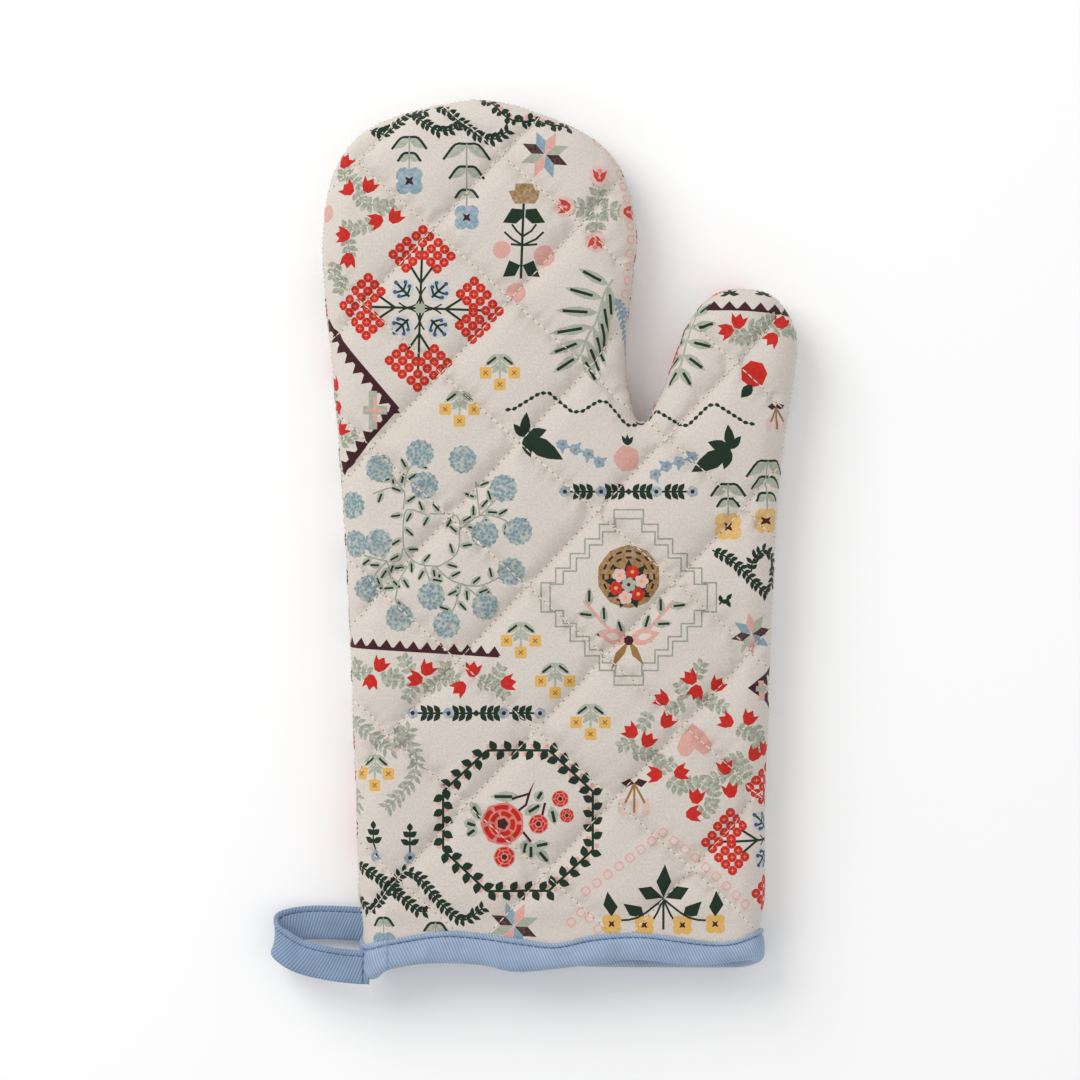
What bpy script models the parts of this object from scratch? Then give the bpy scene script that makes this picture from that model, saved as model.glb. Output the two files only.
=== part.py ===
"""Quilted oven mitt lying on its back panel.

Two panels (cover, batting, lining) joined round the hand outline, a twill binding round the
mouth, a hanging loop on the cuff's side. Metres. +X thumb side, +Y fingertips, +Z up.
Every panel layer is divided where the mitt bends: hand, fingers and thumb.
"""
import math

import bmesh
import bpy
from mathutils import Vector
from mathutils.geometry import delaunay_2d_cdt

MM = 0.001

# Height of the side seam above the table, and radius of the panels' rounded edge.
EDGE_RADIUS = 13.0 * MM
SEAM_Z = EDGE_RADIUS
SEAM_GAP = 0.3 * MM
CROWN = 2.5 * MM
CROWN_WIDTH = 45.0 * MM

# Layers of a panel, from outside to inside: depth of the outer face and thickness.
GAP = 0.3 * MM
LAYERS = {
    "cover": (0.0, 0.8 * MM),
    "batting": (0.8 * MM + GAP, 3.0 * MM),
    "lining": (3.8 * MM + 2 * GAP, 0.6 * MM),
}
WALL = 4.4 * MM + 2 * GAP

# Cuff: the binding presses the panels thinner, so that it does not stand out.
CUFF_END_Y = -158.6 * MM
PINCH = 2.3 * MM
PINCH_START_Y = -126.0 * MM
PINCH_END_Y = -142.0 * MM
BINDING_THICKNESS = 0.8 * MM
BINDING_TOP_Y = -148.0 * MM
THREAD_RADIUS = 0.3 * MM
THREAD_Y = -150.5 * MM

# Bends: a point on the line, the angle of the line's across direction, and the largest fold.
CROTCH_X = 39.4 * MM
BENDS = {
    "fingers": (Vector((0.0, 78.0 * MM)), math.radians(90.0), math.radians(50.0)),
    "thumb": (Vector((70.0 * MM, 47.0 * MM)), math.radians(78.0), math.radians(45.0)),
}
BEND_GAP = 0.3 * MM

# Outline through these points, up the little-finger side and down to the thumb's root, then
# round the thumb and down to the cuff. It runs on past the cuff and is trimmed there.
FINGER_SIDE = [
    (-69, -180), (-69.2, -140), (-70.5, -90), (-73.5, -15), (-77.5, 45), (-81.5, 88),
    (-83, 114), (-78, 141), (-61, 159), (-22, 168), (13, 158), (32, 142.5),
    (38.8, 117.5), (36.8, 92), (34.7, 68), (38.2, 47.6),
]
THUMB_SIDE = [
    (40.6, 47.6), (47.2, 60), (56, 83), (66.5, 94), (79, 96.3), (91.5, 92.5),
    (99.4, 78), (98, 57), (92.8, 18), (89.4, -50), (87.4, -110), (87.4, -140), (87.4, -180),
]
CROTCH_RADIUS = 1.2

# Hanging loop: tape width and thickness, its two strands and the turn between them.
TAPE_WIDTH = 13.0 * MM
TAPE_THICKNESS = 2.0 * MM
LOOP_ROOT_X = -67.5 * MM
LOOP_TURN_X = -92.6 * MM
LOOP_TURN_RADIUS = 6.2 * MM
LOOP_MID_Z = 11.3 * MM
LOOP_FRONT_Y = -160.4 * MM
LOOP_BACK_Y = -145.6 * MM

RING_STEPS = 4


def clear_scene():
    for obj in list(bpy.data.objects):
        bpy.data.objects.remove(obj, do_unlink=True)


def smooth_curve(points, steps):
    """Points of a Catmull-Rom curve through the given points."""
    pts = [Vector(p) for p in points]
    ends = [2 * pts[0] - pts[1]] + pts + [2 * pts[-1] - pts[-2]]
    out = []
    for a, b, c, d in zip(ends, ends[1:], ends[2:], ends[3:]):
        for k in range(steps):
            t = k / steps
            out.append(0.5 * (2 * b + (c - a) * t + (2 * a - 5 * b + 4 * c - d) * t * t
                              + (3 * b - a - 3 * c + d) * t ** 3))
    return out + [pts[-1]]


def mitt_outline():
    """Outline points and inward normals, from the cuff's left side round to its right side."""
    arc = []
    for k in range(1, 4):
        angle = math.pi + k * math.pi / 4
        arc.append(Vector((CROTCH_X / MM + CROTCH_RADIUS * math.cos(angle),
                           47.6 + CROTCH_RADIUS * math.sin(angle))))
    points = smooth_curve(FINGER_SIDE, 2) + arc + smooth_curve(THUMB_SIDE, 2)
    points = [p * MM for p in points]
    normals = []
    for k, point in enumerate(points):
        along = points[min(k + 1, len(points) - 1)] - points[max(k - 1, 0)]
        normals.append(Vector((along.y, -along.x)).normalized())
    return points, normals


def edge_distance(point, outline):
    """Shortest distance from a point to the outline."""
    best = 1.0
    for a, b in zip(outline, outline[1:]):
        along = b - a
        t = max(0.0, min(1.0, (point - a).dot(along) / along.length_squared))
        best = min(best, (point - a - along * t).length)
    return best


def crown_height(point, outline):
    """Extra height of the front panel towards the middle of the hand, none at the cuff."""
    inward = (edge_distance(point, outline) - EDGE_RADIUS) / CROWN_WIDTH
    inward = max(0.0, min(1.0, inward))
    fade = max(0.0, min(1.0, (point.y + 120.0 * MM) / (70.0 * MM)))
    return CROWN * (1 - (1 - inward) ** 2) * fade * fade * (3 - 2 * fade)


def interior(ring, outline, spacing):
    """Triangles of the area inside the innermost ring, with grid points at the given spacing."""
    points = list(ring)
    row = 0
    y = ring[0].y + 0.7 * spacing
    while y < 160 * MM:
        x = -90 * MM + (row % 2) * spacing / 2
        while x < 100 * MM:
            inside = sum(
                1 for a, b in zip(ring, ring[1:] + ring[:1])
                if (a.y > y) != (b.y > y) and x < a.x + (y - a.y) / (b.y - a.y) * (b.x - a.x))
            here = Vector((x, y))
            if inside % 2 and edge_distance(here, outline) > EDGE_RADIUS + 0.45 * spacing:
                points.append(here)
            x += spacing
        y += spacing * 0.866
        row += 1
    loop = list(range(len(ring)))
    verts, _, faces, _, _, _ = delaunay_2d_cdt(points, [], [loop[::-1]], 1, 1e-7)
    return verts, faces


def panel_sheet(side, depth):
    """Open surface of a panel at a depth below its outer face. side is +1 front, -1 back."""
    outline, normals = mitt_outline()
    reach = EDGE_RADIUS - depth
    first = math.asin(0.5 * SEAM_GAP / reach)
    bm = bmesh.new()
    rings = []
    for step in range(RING_STEPS + 1):
        angle = first + (math.pi / 2 - first) * step / RING_STEPS
        inset = EDGE_RADIUS - reach * math.cos(angle)
        z = SEAM_Z + side * reach * math.sin(angle)
        rings.append([bm.verts.new((p.x + n.x * inset, p.y + n.y * inset, z))
                      for p, n in zip(outline, normals)])
    for outer, inner in zip(rings, rings[1:]):
        for k in range(len(outer) - 1):
            bm.faces.new((outer[k], outer[k + 1], inner[k + 1], inner[k]))
    last = rings[-1]
    flat, faces = interior([v.co.xy for v in last], outline, (16 if side > 0 else 40) * MM)
    verts = []
    for p in flat:
        near = min(last, key=lambda v: (v.co.xy - p).length)
        if (near.co.xy - p).length < 1e-6:
            verts.append(near)
        else:
            verts.append(bm.verts.new((p.x, p.y, SEAM_Z + side * reach)))
    for face in faces:
        bm.faces.new([verts[k] for k in face])
    for y in (PINCH_START_Y, PINCH_END_Y):
        bmesh.ops.bisect_plane(bm, geom=bm.verts[:] + bm.edges[:] + bm.faces[:], dist=1e-6,
                               plane_co=(0, y, 0), plane_no=(0, 1, 0))
    bmesh.ops.recalc_face_normals(bm, faces=bm.faces)
    bm.faces.ensure_lookup_table()
    up = max(bm.faces, key=lambda f: abs(f.normal.z) * f.calc_area()).normal.z
    if up * side < 0:
        bmesh.ops.reverse_faces(bm, faces=bm.faces)
    bm.normal_update()
    if side > 0:
        for v in bm.verts:
            v.co.z += crown_height(v.co.xy, outline)
    pinch_cuff(bm)
    return bm


def pinch_cuff(bm):
    """Draw the sheet inwards near the cuff, by PINCH at the binding."""
    moves = []
    for v in bm.verts:
        t = max(0.0, min(1.0, (v.co.y - PINCH_START_Y) / (PINCH_END_Y - PINCH_START_Y)))
        inward = Vector((-v.normal.x, 0.0, -v.normal.z))
        moves.append(inward.normalized() * PINCH * t * t * (3 - 2 * t))
    for v, move in zip(bm.verts, moves):
        if abs(v.co.z - SEAM_Z) < SEAM_GAP:
            move.z = 0.0
        v.co += move


def bend_plane(name, side, beyond):
    """Plane that bounds a part next to a bend: a point and the normal towards the part."""
    point, angle, fold = BENDS[name]
    across = Vector((math.cos(angle), math.sin(angle), 0.0))
    tilt = fold / 2 + math.radians(1.5) if side > 0 else 0.0
    normal = across * math.cos(tilt) * (1 if beyond else -1) - Vector((0, 0, math.sin(tilt)))
    return Vector((point.x, point.y, SEAM_Z)) + normal * BEND_GAP, normal


def keep_section(bm, section, side):
    """Trim a panel's sheet to its hand, fingers or thumb part."""
    planes = {}
    for name in BENDS:
        planes[name] = bend_plane(name, side, beyond=section == name)
    for point, normal in planes.values():
        bmesh.ops.bisect_plane(bm, geom=bm.verts[:] + bm.edges[:] + bm.faces[:], dist=1e-6,
                               plane_co=point, plane_no=normal)
    bmesh.ops.bisect_plane(bm, geom=bm.verts[:] + bm.edges[:] + bm.faces[:], dist=1e-6,
                           plane_co=(0, CUFF_END_Y, 0), plane_no=(0, -1, 0), clear_outer=True)
    away = []
    for face in bm.faces:
        middle = face.calc_center_median()
        part = "fingers" if middle.x < CROTCH_X else "thumb"
        point, normal = planes[part]
        kept = (middle - point).dot(normal) > 0
        if section != "hand":
            kept = kept and part == section
        if not kept:
            away.append(face)
    bmesh.ops.delete(bm, geom=away, context="FACES")


def new_object(name, bm, color, collection):
    mesh = bpy.data.meshes.new(name)
    bm.to_mesh(mesh)
    bm.free()
    obj = bpy.data.objects.new(name, mesh)
    collection.objects.link(obj)
    material = bpy.data.materials.new(name)
    material.use_nodes = True
    shader = material.node_tree.nodes["Principled BSDF"]
    shader.inputs["Base Color"].default_value = (*color, 1.0)
    shader.inputs["Roughness"].default_value = 0.85
    mesh.materials.append(material)
    return obj


def apply_modifiers(obj):
    graph = bpy.context.evaluated_depsgraph_get()
    mesh = bpy.data.meshes.new_from_object(obj.evaluated_get(graph))
    obj.modifiers.clear()
    obj.data = mesh


def panel_layer(side, layer, section, color, collection):
    """One layer of one panel, hand, fingers or thumb part, as a closed solid."""
    depth, thickness = LAYERS[layer]
    bm = panel_sheet(side, depth)
    keep_section(bm, section, side)
    name = f"{'front' if side > 0 else 'back'}_{layer}_{section}"
    obj = new_object(name, bm, color, collection)
    solid = obj.modifiers.new("thickness", "SOLIDIFY")
    solid.thickness = thickness
    solid.offset = -1
    apply_modifiers(obj)
    rim = SEAM_Z + side * SEAM_GAP / 2
    for v in obj.data.vertices:
        if (v.co.z - rim) * side < 0:
            v.co.z = rim
    return obj


def cuff_ring(name, profile, color, collection):
    """Closed ring round the mouth with the given profile of (depth, y) points."""
    left = FINGER_SIDE[1][0] * MM + EDGE_RADIUS
    right = THUMB_SIDE[-2][0] * MM - EDGE_RADIUS
    stations = []
    for centre, start in ((right, -90), (left, 90)):
        for step in range(2 * RING_STEPS + 1):
            angle = math.radians(start + 180 * step / (2 * RING_STEPS))
            stations.append((centre, math.cos(angle), math.sin(angle)))
    bm = bmesh.new()
    rows = []
    for centre, cos, sin in stations:
        rows.append([bm.verts.new((centre + (EDGE_RADIUS - d) * cos, y,
                                   SEAM_Z + (EDGE_RADIUS - d) * sin)) for d, y in profile])
    for row, after in zip(rows, rows[1:] + rows[:1]):
        for k in range(len(profile)):
            m = (k + 1) % len(profile)
            bm.faces.new((row[k], row[m], after[m], after[k]))
    bmesh.ops.recalc_face_normals(bm, faces=bm.faces)
    return new_object(name, bm, color, collection)


def hanging_loop(color, collection):
    """Tape that leaves the cuff's front, turns back and returns to the cuff's back."""
    path = []
    for step in range(4):
        x = LOOP_ROOT_X + (LOOP_TURN_X - LOOP_ROOT_X) * step / 4
        path.append((x, LOOP_MID_Z + LOOP_TURN_RADIUS, 0.0, 1.0))
    for step in range(9):
        angle = math.radians(90 + 180 * step / 8)
        path.append((LOOP_TURN_X + LOOP_TURN_RADIUS * math.cos(angle),
                     LOOP_MID_Z + LOOP_TURN_RADIUS * math.sin(angle),
                     math.cos(angle), math.sin(angle)))
    for step in range(1, 5):
        x = LOOP_TURN_X + (LOOP_ROOT_X - LOOP_TURN_X) * step / 4
        path.append((x, LOOP_MID_Z - LOOP_TURN_RADIUS, 0.0, -1.0))
    bm = bmesh.new()
    rows = []
    for k, (x, z, nx, nz) in enumerate(path):
        t = k / (len(path) - 1)
        y = LOOP_FRONT_Y + (LOOP_BACK_Y - LOOP_FRONT_Y) * t * t * (3 - 2 * t)
        row = []
        for across, out in ((-1, -1), (1, -1), (1, 1), (-1, 1)):
            half = out * TAPE_THICKNESS / 2
            row.append(bm.verts.new((x + nx * half, y + across * TAPE_WIDTH / 2, z + nz * half)))
        rows.append(row)
    for row, after in zip(rows, rows[1:]):
        for k in range(4):
            m = (k + 1) % 4
            bm.faces.new((row[k], row[m], after[m], after[k]))
    bm.faces.new(rows[0])
    bm.faces.new(rows[-1][::-1])
    bmesh.ops.recalc_face_normals(bm, faces=bm.faces)
    return new_object("hanging_loop", bm, color, collection)


def main():
    clear_scene()
    collection = bpy.data.collections.new("quilted_oven_mitt")
    bpy.context.scene.collection.children.link(collection)

    colors = {
        "cover": (0.72, 0.65, 0.58),
        "batting": (0.85, 0.84, 0.80),
        "lining": (0.78, 0.72, 0.62),
    }
    twill = (0.24, 0.39, 0.66)
    for side in (1, -1):
        for layer in LAYERS:
            for section in ("hand", "fingers", "thumb"):
                panel_layer(side, layer, section, colors[layer], collection)

    outside = PINCH - GAP
    inside = PINCH + WALL + GAP
    bottom = CUFF_END_Y - GAP
    tape = BINDING_THICKNESS
    cuff_ring("cuff_binding", [
        (outside, BINDING_TOP_Y), (outside - tape, BINDING_TOP_Y), (outside - tape, bottom - tape),
        (inside + tape, bottom - tape), (inside + tape, BINDING_TOP_Y), (inside, BINDING_TOP_Y),
        (inside, bottom), (outside, bottom),
    ], twill, collection)

    thread_depth = outside - tape - GAP - THREAD_RADIUS
    thread = [(thread_depth + THREAD_RADIUS * math.cos(math.radians(60 * k)),
               THREAD_Y + THREAD_RADIUS * math.sin(math.radians(60 * k))) for k in range(6)]
    cuff_ring("cuff_topstitch", thread, (0.10, 0.19, 0.42), collection)
    hanging_loop(twill, collection)


main()
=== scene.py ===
"""Quilted oven mitt: printed cotton panels, twill-bound cuff and hanging loop.

Lengths here are in millimetres on the flat cloth, and are turned into metres when a mesh is made.
"""
import math

import bpy
import numpy as np
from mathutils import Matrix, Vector, noise
from mathutils.geometry import delaunay_2d_cdt


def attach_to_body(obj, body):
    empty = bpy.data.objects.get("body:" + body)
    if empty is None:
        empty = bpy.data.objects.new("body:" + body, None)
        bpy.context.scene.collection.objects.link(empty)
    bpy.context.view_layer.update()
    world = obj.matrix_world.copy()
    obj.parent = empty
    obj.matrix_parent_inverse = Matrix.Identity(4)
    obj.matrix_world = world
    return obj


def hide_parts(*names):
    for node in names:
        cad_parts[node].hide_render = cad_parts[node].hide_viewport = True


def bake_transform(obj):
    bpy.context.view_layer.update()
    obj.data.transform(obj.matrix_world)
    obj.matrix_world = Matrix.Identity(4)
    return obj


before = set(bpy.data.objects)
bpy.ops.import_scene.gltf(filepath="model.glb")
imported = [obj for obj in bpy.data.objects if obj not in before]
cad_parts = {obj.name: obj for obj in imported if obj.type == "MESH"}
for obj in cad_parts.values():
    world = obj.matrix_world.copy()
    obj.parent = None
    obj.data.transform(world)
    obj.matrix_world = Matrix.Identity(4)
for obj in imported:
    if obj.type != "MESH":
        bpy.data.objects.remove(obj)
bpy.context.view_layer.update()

MM = 0.001
EDGE = 13.0          # radius of the panels' rounded edge, and height of the side seam
TOP = 2 * EDGE       # height of the front panel's base surface
CROWN = 2.2          # what the front rises above that in the middle of the hand
VALLEY = 3.7         # how deep the quilting pulls the cloth down
CUFF_Y = -157.0      # where the cloth ends inside the binding
STITCH = 2.8         # from one quilting stitch to the next

QUILT_ORIGIN = np.array([-39.6, 117.1])
QUILT_A = np.array([29.4, -26.2])
QUILT_B = np.array([-26.2, -28.0])
DIAMOND = 38.8       # side of a quilted diamond
CELL = 18            # simulated squares along a quilted diamond's side

FINGER_LINE = 58.0   # the finger pieces start here
CROTCH = np.array([39.4, 46.2])
CROTCH_ARC = (47.6, 1.2)    # height of the arc between finger and thumb, and its radius
THUMB_ACROSS = np.array([math.cos(math.radians(78.0)), math.sin(math.radians(78.0))])

FINGER_SIDE = [
    (-69, -180), (-69.2, -140), (-70.5, -90), (-73.5, -15), (-77.5, 45), (-81.5, 88),
    (-83, 114), (-78, 141), (-61, 159), (-22, 168), (13, 158), (32, 142.5),
    (38.8, 117.5), (36.8, 92), (34.7, 68), (38.2, 47.6),
]
THUMB_SIDE = [
    (40.6, 47.6), (47.2, 60), (56, 83), (66.5, 94), (79, 96.3), (91.5, 92.5),
    (99.4, 78), (98, 57), (92.8, 18), (89.4, -50), (87.4, -110), (87.4, -140), (87.4, -180),
]

# ---------------------------------------------------------------- the printed pattern, in millimetres

GROUND = (208, 199, 190)
GREEN, MAROON, RED, ORANGE = (26, 46, 32), (62, 27, 32), (190, 30, 20), (222, 128, 84)
SAGE, SAGE_DARK, BLUE, BLUE_DARK = (156, 163, 145), (140, 145, 130), (118, 148, 166), (66, 84, 112)
PINK, PALE_PINK, MUSTARD, YELLOW = (212, 154, 144), (216, 180, 172), (148, 110, 58), (216, 168, 82)
SPRAY, TULIP, ROSE, LINK = (138, 145, 126), (190, 60, 48), (206, 112, 100), (220, 168, 158)
# The last colour on the next line is painted shade for the needle holes between quilting stitches.
POMPOM, HALO, HOLE_SHADE = (108, 138, 146), (184, 190, 194), (138, 124, 112)
SPECKS = (198, 194, 183)
shapes = []


def shape(points, color, speckle=0.0):
    """One printed shape. Later shapes lie on earlier ones. speckle is how mottled its ink is."""
    shapes.append(([(float(x), float(y)) for x, y in points], color, speckle))


def place(points, x, y, turn=0.0, size=1.0):
    """Points turned by degrees, sized and moved to (x, y)."""
    c, s = math.cos(math.radians(turn)) * size, math.sin(math.radians(turn)) * size
    return [(x + c * px - s * py, y + s * px + c * py) for px, py in points]


def spot(x, y, turn, along, aside=0.0, size=1.0):
    """The point that lies this far along and aside of (x, y)."""
    return place([(along, aside)], x, y, turn, size)[0]


def flip(turn, side):
    """The angle, or its mirror image where side is -1."""
    return turn if side > 0 else 180 - turn


def disc(x, y, r, color, speckle=0.0, sides=12, wobble=0.0):
    """Round spot, or a frilled one where wobble is given."""
    angles = [2 * math.pi * k / sides for k in range(sides)]
    reach = [r * (1 + wobble * (k % 2)) for k in range(sides)]
    shape([(x + q * math.cos(a), y + q * math.sin(a)) for a, q in zip(angles, reach)], color, speckle)


def leaf(x, y, turn, length, width, color=GREEN, speckle=0.0):
    """Pointed leaf that starts at (x, y)."""
    top = [(length * t, width / 2 * math.sin(math.pi * t ** 0.85)) for t in (0, 0.2, 0.45, 0.7, 0.88, 1)]
    low = [(px, -py) for px, py in top[-2:0:-1]]
    shape(place(top + low, x, y, turn), color, speckle)


def blade(x, y, turn, length, width, color=GREEN):
    """Leaf with straight sides."""
    cut = [(0, 0), (0.36, 0.5 * width / length), (1, 0.06), (0.5, -0.5 * width / length)]
    shape(place(cut, x, y, turn, length), color)


def line(points, width, color=GREEN, speckle=0.0):
    """Stroke along a polyline."""
    pts = [Vector(p) for p in points]
    left, right = [], []
    for k, p in enumerate(pts):
        d = (pts[min(k + 1, len(pts) - 1)] - pts[max(k - 1, 0)]).normalized()
        n = Vector((-d.y, d.x)) * width / 2
        left.append(p + n)
        right.append(p - n)
    shape([tuple(p) for p in left + right[::-1]], color, speckle)


def dash(x, y, turn, start, end, width, color=GREEN, speckle=0.0, size=1.0):
    """Straight stroke on the line through (x, y)."""
    line(place([(start, 0), (end, 0)], x, y, turn, size), width, color, speckle)


def square(x, y, turn, r, corner, color, speckle):
    """Square with its corners cut off."""
    half = [(1, corner), (corner, 1), (-corner, 1), (-1, corner)]
    shape(place(half + [(-px, -py) for px, py in half], x, y, turn, r), color, speckle)


def dashed_leaf(x, y, turn, length=7.0, width=3.2):
    """Sage leaf with a dark dash down its middle."""
    leaf(x, y, turn, length, width, SAGE, 0.5)
    dash(x, y, turn, 0.26 * length, 0.84 * length, 0.28 * width)


def bend(points, steps=4):
    """Smooth curve through the points."""
    pts = [Vector(p) for p in points]
    ends = [2 * pts[0] - pts[1]] + pts + [2 * pts[-1] - pts[-2]]
    out = []
    for a, b, c, d in zip(ends, ends[1:], ends[2:], ends[3:]):
        for k in range(steps):
            t = k / steps
            out.append(0.5 * (2 * b + (c - a) * t + (2 * a - 5 * b + 4 * c - d) * t * t
                              + (3 * b - a - 3 * c + d) * t ** 3))
    return [tuple(p) for p in out] + [tuple(pts[-1])]


def walk(points, gap):
    """(x, y, turn) at every gap along a polyline."""
    out, left = [], gap / 2
    for (ax, ay), (bx, by) in zip(points, points[1:]):
        length = math.hypot(bx - ax, by - ay)
        while left < length:
            t = left / length
            out.append((ax + (bx - ax) * t, ay + (by - ay) * t, math.degrees(math.atan2(by - ay, bx - ax))))
            left += gap
        left -= length
    return out


def sided_walk(points, gap):
    """As walk, with a count and a side, 1 or -1 in turn."""
    return [(k, 1 if k % 2 else -1, *at) for k, at in enumerate(walk(points, gap))]


def vine(points, leaf_length=3.3, leaf_width=1.75, gap=2.25, color=GREEN, speckle=0.0):
    """Thin stem on a smooth curve, with small leaves close together on both sides."""
    path = bend(points)
    line(path, 0.65, color, speckle)
    for k, (px, py, a) in enumerate(walk(path, gap)):
        for side in (1, -1):
            leaf(px, py, a + side * (46 + 8 * (k % 2)), leaf_length * (0.88 + 0.1 * (k % 3)), leaf_width,
                 color, speckle)


def bud_vine(points):
    """Stem with rounded leaves in pairs and pink buds under it."""
    path = bend(points)
    for px, py, a in walk(path, 2.6):
        disc(*spot(px, py, a, 0, 1.3), 1.0, PINK, 0.4, 6)
    line(path, 0.8)
    for _, side, px, py, a in sided_walk(path, 3.0):
        leaf(px, py, a + side * 62, 3.3, 2.3)
        leaf(px, py, a - side * 96, 2.3, 1.9)


def flower_row(x, y):
    """Level stem of dark leaves between four small blue flowers."""
    line([(x - 24, y), (x + 24, y)], 0.8)
    shape([(x - 1.5, y), (x, y + 1.3), (x + 1.5, y), (x, y - 1.3)], GREEN)
    for side in (1, -1):
        for d in (1.6, 4.2, 6.6, 13.6, 16.2, 18.6):
            for lift in (52, -52):
                leaf(x + side * d, y, flip(lift, side), 3.9, 2.2)
        for d in (10.4, 24.0):
            disc(x + side * d, y, 2.0, BLUE, 0.9, 10, 0.15)
            disc(x + side * d, y, 0.9, MAROON, 0, 6)


def clover(x, y, r, color, speckle=0.5):
    """Flower of four round petals with a dark cross."""
    for turn in (45, 135, 225, 315):
        disc(*spot(x, y, turn, 0.56 * r), 0.56 * r, color, speckle, 9)
    for turn in (45, 135):
        leaf(*spot(x, y, turn, -0.42 * r), turn, 0.84 * r, 0.27 * r, MAROON)


def blossom(x, y, turn, r, color, heart, petals, speckle):
    """Small round flower."""
    for k in range(petals):
        disc(*spot(x, y, turn + 360 * k / petals, 0.58 * r), 0.52 * r, color, speckle, 8)
    disc(x, y, 0.30 * r, heart, 0, 6)


def tulip(x, y, turn, size, color=RED):
    """Three-pointed flower head that opens along turn."""
    cup = [(-0.2, -0.55), (0.22, -0.55), (0.52, -0.15), (0.66, 0.55), (0.3, 0.28), (0, 0.68), (-0.3, 0.28),
           (-0.66, 0.55), (-0.52, -0.15)]
    shape(place(cup, x, y, turn - 90, size), color, 0.04)


def sage_spray(x, y, turn, size=1.0):
    """Fan of mottled sage leaflets."""
    dash(x, y, turn, -3.2, 3.6, 0.6, SAGE_DARK, 0.7, size)
    for along, lean, length in ((-2.6, 62, 3.6), (-0.2, 56, 3.9), (2.2, 46, 3.2)):
        for side in (1, -1):
            foot = spot(x, y, turn, along, 0, size)
            leaf(*foot, turn + side * lean, length * size, 2.2 * size, SPRAY, 0.85)


def tulips(heads, sprays, size=4.9):
    """Red tulips among mottled leaves, each at (x, y, turn)."""
    for x, y, turn in sprays:
        sage_spray(x, y, turn)
    for x, y, turn in heads:
        tulip(x, y, turn, size)


def berry(x, y, turn, r):
    """Rounded red square with a small orange cross."""
    square(x, y, turn + 45, r, 0.45, RED, 0.05)
    for a in (0, 90):
        dash(x, y, turn + a, -0.42, 0.42, 0.16 * r, ORANGE, size=r)


def berry_cross(x, y, turn):
    """Four bunches of berries on crossed stems, with a small blue twig in each corner."""
    for q in (45, 135, 225, 315):
        disc(*spot(x, y, turn + q, 9.6), 4.2, HALO, 0.3, 12)
        dash(x, y, turn + q, 6.0, 13.2, 0.9)
        for out in (8.4, 10.6):
            for aside in (2.7, -2.7):
                line(place([(out - 1.4, 0), (out, aside)], x, y, turn + q), 0.8)
                disc(*spot(x, y, turn + q, out + 0.4, aside), 0.85, BLUE_DARK, 0, 6)
        disc(*spot(x, y, turn + q, 13.4), 0.85, BLUE_DARK, 0, 6)
        for side in (1, -1):
            petal = bend([(2, 0), (3.6, side * 3.4), (7, side * 4.4)], 2)
            line(place(petal, x, y, turn + q), 0.6)
    for q in (0, 90, 180, 270):
        for stem in ([(1, 0), (25, 0)], [(9.5, 0), (16, 4.4)], [(9.5, 0), (16, -4.4)]):
            line(place(stem, x, y, turn + q), 0.9)
        for out, aside, count in ((20, 5.9, 3), (20, -5.9, 3), (27.2, 0, 2)):
            half = (count - 1) / 2
            bunch = [(out + 2.5 * (i + j - 2 * half), aside + 2.5 * (i - j)) for i in range(count)
                     for j in range(count)]
            for px, py in place(bunch, x, y, turn + q):
                berry(px, py, turn + q, 1.72)
    disc(x, y, 1.7, SAGE, 0, 8, 0.4)


def star(x, y, r, turn):
    """Eight-pointed patchwork star."""
    side = r / (2 * math.cos(math.radians(22.5)))
    kite = [(0.25, 0), spot(0, 0, -22.5, side), (r, 0), spot(0, 0, 22.5, side)]
    for k, ink in enumerate((MAROON, SAGE, PINK, BLUE) * 2):
        shape(place(kite, x, y, turn + 45 * k), ink, 0.12 if ink == MAROON else 0.3)


def umbrella(x, y, tiers, gap, flower=BLUE, r=5.4):
    """Drooping sprig: pairs of arched leaves above one flower."""
    low = y
    for k in range(tiers, 0, -1):
        reach = 2.2 + 2.2 * k
        for side in (1, -1):
            leaf(x, low, flip(-30, side), 1.15 * reach, 3.6, SAGE, 0.55)
            arch = [(x, low + 0.5), (x + side * 0.5 * reach, low + 0.2),
                    (x + side * reach, low - 0.62 * reach)]
            line(bend(arch, 3), 0.95)
        low -= gap
    line([(x, y + 0.6), (x, low + gap - 7)], 0.6, SAGE_DARK, 0.4)
    clover(x, low + gap - 10, r, flower, 0.6)


def little_yellow(x, y):
    """Two dashed leaves over three square yellow flowers."""
    for side in (1, -1):
        line([(x, y + 3.5), (x + side * 4.6, y)], 0.6, SAGE, 0.5)
        leaf(x, y + 2.4, flip(-50, side), 4.6, 2.2, SAGE, 0.6)
        dashed_leaf(x, y + 6.2, flip(-38, side), 7.2, 3.1)
    line([(x, y + 6), (x, y - 3)], 0.8, SAGE, 0.5)
    for dx, dy in ((-5.4, -0.8), (5.4, -0.8), (0, -5.2)):
        square(x + dx, y + dy, 0, 2.2, 0.8, YELLOW, 0.15)
        for a in (45, 135):
            dash(x + dx, y + dy, a, -1.1, 1.1, 0.45, MUSTARD)


def pompom_wreath(stems, rounds):
    """Thin stems with dashed leaves, and round mottled heads."""
    for stem in stems:
        path = bend(stem, 3)
        line(path, 0.55, SAGE_DARK, 0.3)
        for k, side, px, py, a in sided_walk(path, 4.4):
            dashed_leaf(px, py, a + side * (48 + 14 * (k % 3)), 5.9, 2.8)
    for x, y in rounds:
        disc(x, y, 4.9, POMPOM, 1.0, 26, 0.12)


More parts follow.
